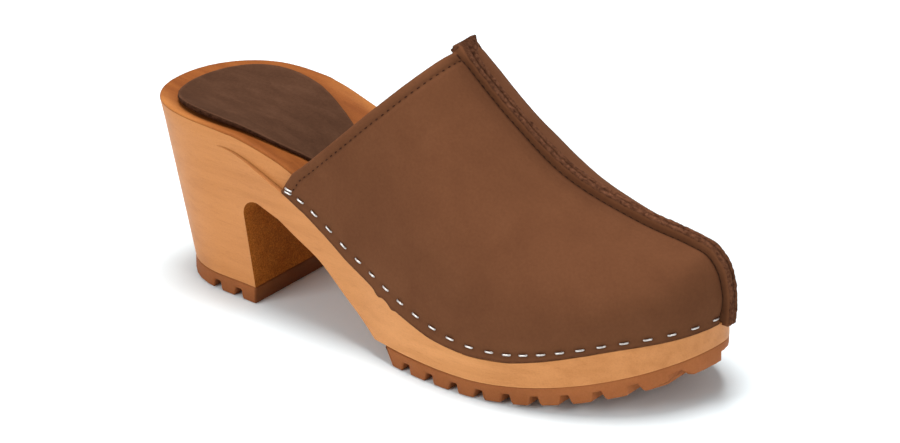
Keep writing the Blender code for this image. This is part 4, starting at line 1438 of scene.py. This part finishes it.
def make_pad():
    """The leather heel pad: soft top edge, rough cut side, resting in the bed."""
    turn = np.linspace(0, 2 * math.pi, PAD_STEPS, endpoint=False)
    x = PAD_BACK + PAD_LENGTH * (1 - np.cos(turn)) / 2
    middle = PAD_INWARD + PAD_LEAN * (x - PAD_BACK)
    y = middle - PAD_HALF_WIDTH * np.sin(turn) * (1 + PAD_EGG * np.cos(turn))
    edge = np.column_stack([x, y])
    ends = [PAD_BACK + share * PAD_LENGTH for share in PAD_SPINE]
    spine = np.column_stack([np.clip(x, *ends), middle])
    lean = edge - spine
    size = np.linalg.norm(lean, axis=1)[:, None]
    lean = lean / size
    fray = PAD_FRAY * rough(np.column_stack([edge, np.zeros(len(edge))]), 700.0, 29.0)[:, None]
    rings = [(spine + (edge - spine) * reach, PAD_GAP) for reach in PAD_UNDER]
    for inward, height in PAD_SIDE:
        frayed = lean * fray * (1 if height < 0.9 else 0.2)
        rings.append((edge - lean * inward * MM + frayed, PAD_GAP + PAD_THICKNESS * height))
    rings += [(spine + (edge - spine) * reach, PAD_GAP + PAD_THICKNESS) for reach in PAD_TOP]
    curl = PAD_CURL * band(turn, PAD_CURL_AT, PAD_CURL_WIDE)
    points = []
    for plan, height in rings:
        reach = np.linalg.norm(plan - spine, axis=1) / size[:, 0]
        raised = curl * reach ** 3 * (0.6 if height < PAD_GAP + 0.2 * PAD_THICKNESS else 1.0)
        points += [(px, py, bed_height(px, py) + height + up) for (px, py), up in zip(plan, raised)]
    points = np.array(points)
    side = len(PAD_UNDER)
    top = side + len(PAD_SIDE)
    swell = PAD_SWELL * rough(points, 60.0, 31.0)
    points[top * PAD_STEPS:, 2] += swell[top * PAD_STEPS:]
    faces = grid_faces(len(rings), PAD_STEPS, closed=True)
    look_of_face = [1 if f // PAD_STEPS < side + 2 else 0 for f in range(len(faces))]
    shade = np.ones((len(rings), PAD_STEPS))
    shade[side:side + 3] = PAD_CUT_DARK
    # Painted highlight on the pad's rounded top edge.
    shade[side + 3:top] = PAD_EDGE_PAINTED_HIGHLIGHT
    new_piece("heel_pad_leather", points, faces, (PAD, RAW), "pad_leather", ["heel_pad"], look_of_face,
              shade.ravel())


# Floor, light and camera

FLOOR_HALF = 4.0
WORLD_LIGHT = 0.32
PHOTO_AZIMUTH = math.radians(36.07)
PHOTO_ELEVATION = math.radians(24.09)
PHOTO_DISTANCE = 1.7
PHOTO_TARGET = np.array([120.0, 0.0, 40.0]) * MM
FOCAL_PIXELS = 4602.0
IMAGE_WIDTH = 900.0
SENSOR = 36.0
CENTRE_RIGHT = 5.95 * MM
CENTRE_UP = 0.5 * MM


def make_camera():
    a, e = PHOTO_AZIMUTH, PHOTO_ELEVATION
    back = Vector((math.sin(a) * math.cos(e), -math.cos(a) * math.cos(e), math.sin(e)))
    right = Vector((math.cos(a), math.sin(a), 0.0))
    up = back.cross(right)
    target = Vector(PHOTO_TARGET + SHIFT)
    eye = target + back * PHOTO_DISTANCE
    aim = target + right * CENTRE_RIGHT + up * CENTRE_UP
    data = bpy.data.cameras.new("camera")
    data.sensor_width = SENSOR
    data.lens = SENSOR * FOCAL_PIXELS / IMAGE_WIDTH
    camera = new_object("camera", data)
    camera.location = eye
    camera.rotation_euler = (aim - eye).to_track_quat("-Z", "Y").to_euler()
    bpy.context.scene.camera = camera


def soft_light(name, place_at, aim_at, size, power):
    """A rectangular lamp at a place in metres, turned to a point."""
    data = bpy.data.lights.new(name, "AREA")
    data.shape = "RECTANGLE"
    data.size, data.size_y = size
    data.energy = power
    light = new_object(name, data)
    light.location = place_at
    light.rotation_euler = (Vector(aim_at) - Vector(place_at)).to_track_quat("-Z", "Y").to_euler()


def make_studio():
    """A pale floor under soft light from three sides."""
    bm = bmesh.new()
    bmesh.ops.create_grid(bm, x_segments=2, y_segments=2, size=FLOOR_HALF)
    mesh = bpy.data.meshes.new("floor")
    bm.to_mesh(mesh)
    bm.free()
    look = Look("pale_floor")
    cloud = look.clouds(look.place(), 1.5)
    colour = look.ramp(cloud, (0.3, 0.7), ((0.86, 0.935, 0.965), (0.87, 0.945, 0.975)))
    look.feed(look.shader, {"Base Color": colour, "Roughness": 0.9, "Specular IOR Level": 0.1})
    mesh.materials.append(look.made)
    new_object("floor", mesh)
    world = bpy.data.worlds.new("studio")
    world.use_nodes = True
    sky = world.node_tree.nodes["Background"]
    sky.inputs["Color"].default_value = (1.0, 1.0, 1.0, 1.0)
    sky.inputs["Strength"].default_value = WORLD_LIGHT
    bpy.context.scene.world = world
    soft_light("key", (-0.60, -1.6, 0.9), (0.0, 0.0, 0.04), (1.1, 1.1), 18.0)
    soft_light("overhead", (-0.16, 0.14, 1.65), (0.0, 0.0, 0.0), (0.85, 0.75), 29.5)
    soft_light("fill", (1.7, -0.4, 0.8), (0.0, 0.0, 0.05), (1.0, 1.0), 7.5)
    bpy.context.scene.view_settings.view_transform = "Standard"


make_wood()
make_tread("forefoot_outsole", "forefoot_tread")
make_tread("heel_lift", "heel_tread")
SHEETS, NORMALS, LINE = make_upper()
make_ridge(LINE)
make_stitches(SHEETS, NORMALS, LINE)
make_staples(SHEETS, NORMALS)
make_pad()
make_studio()
make_camera()
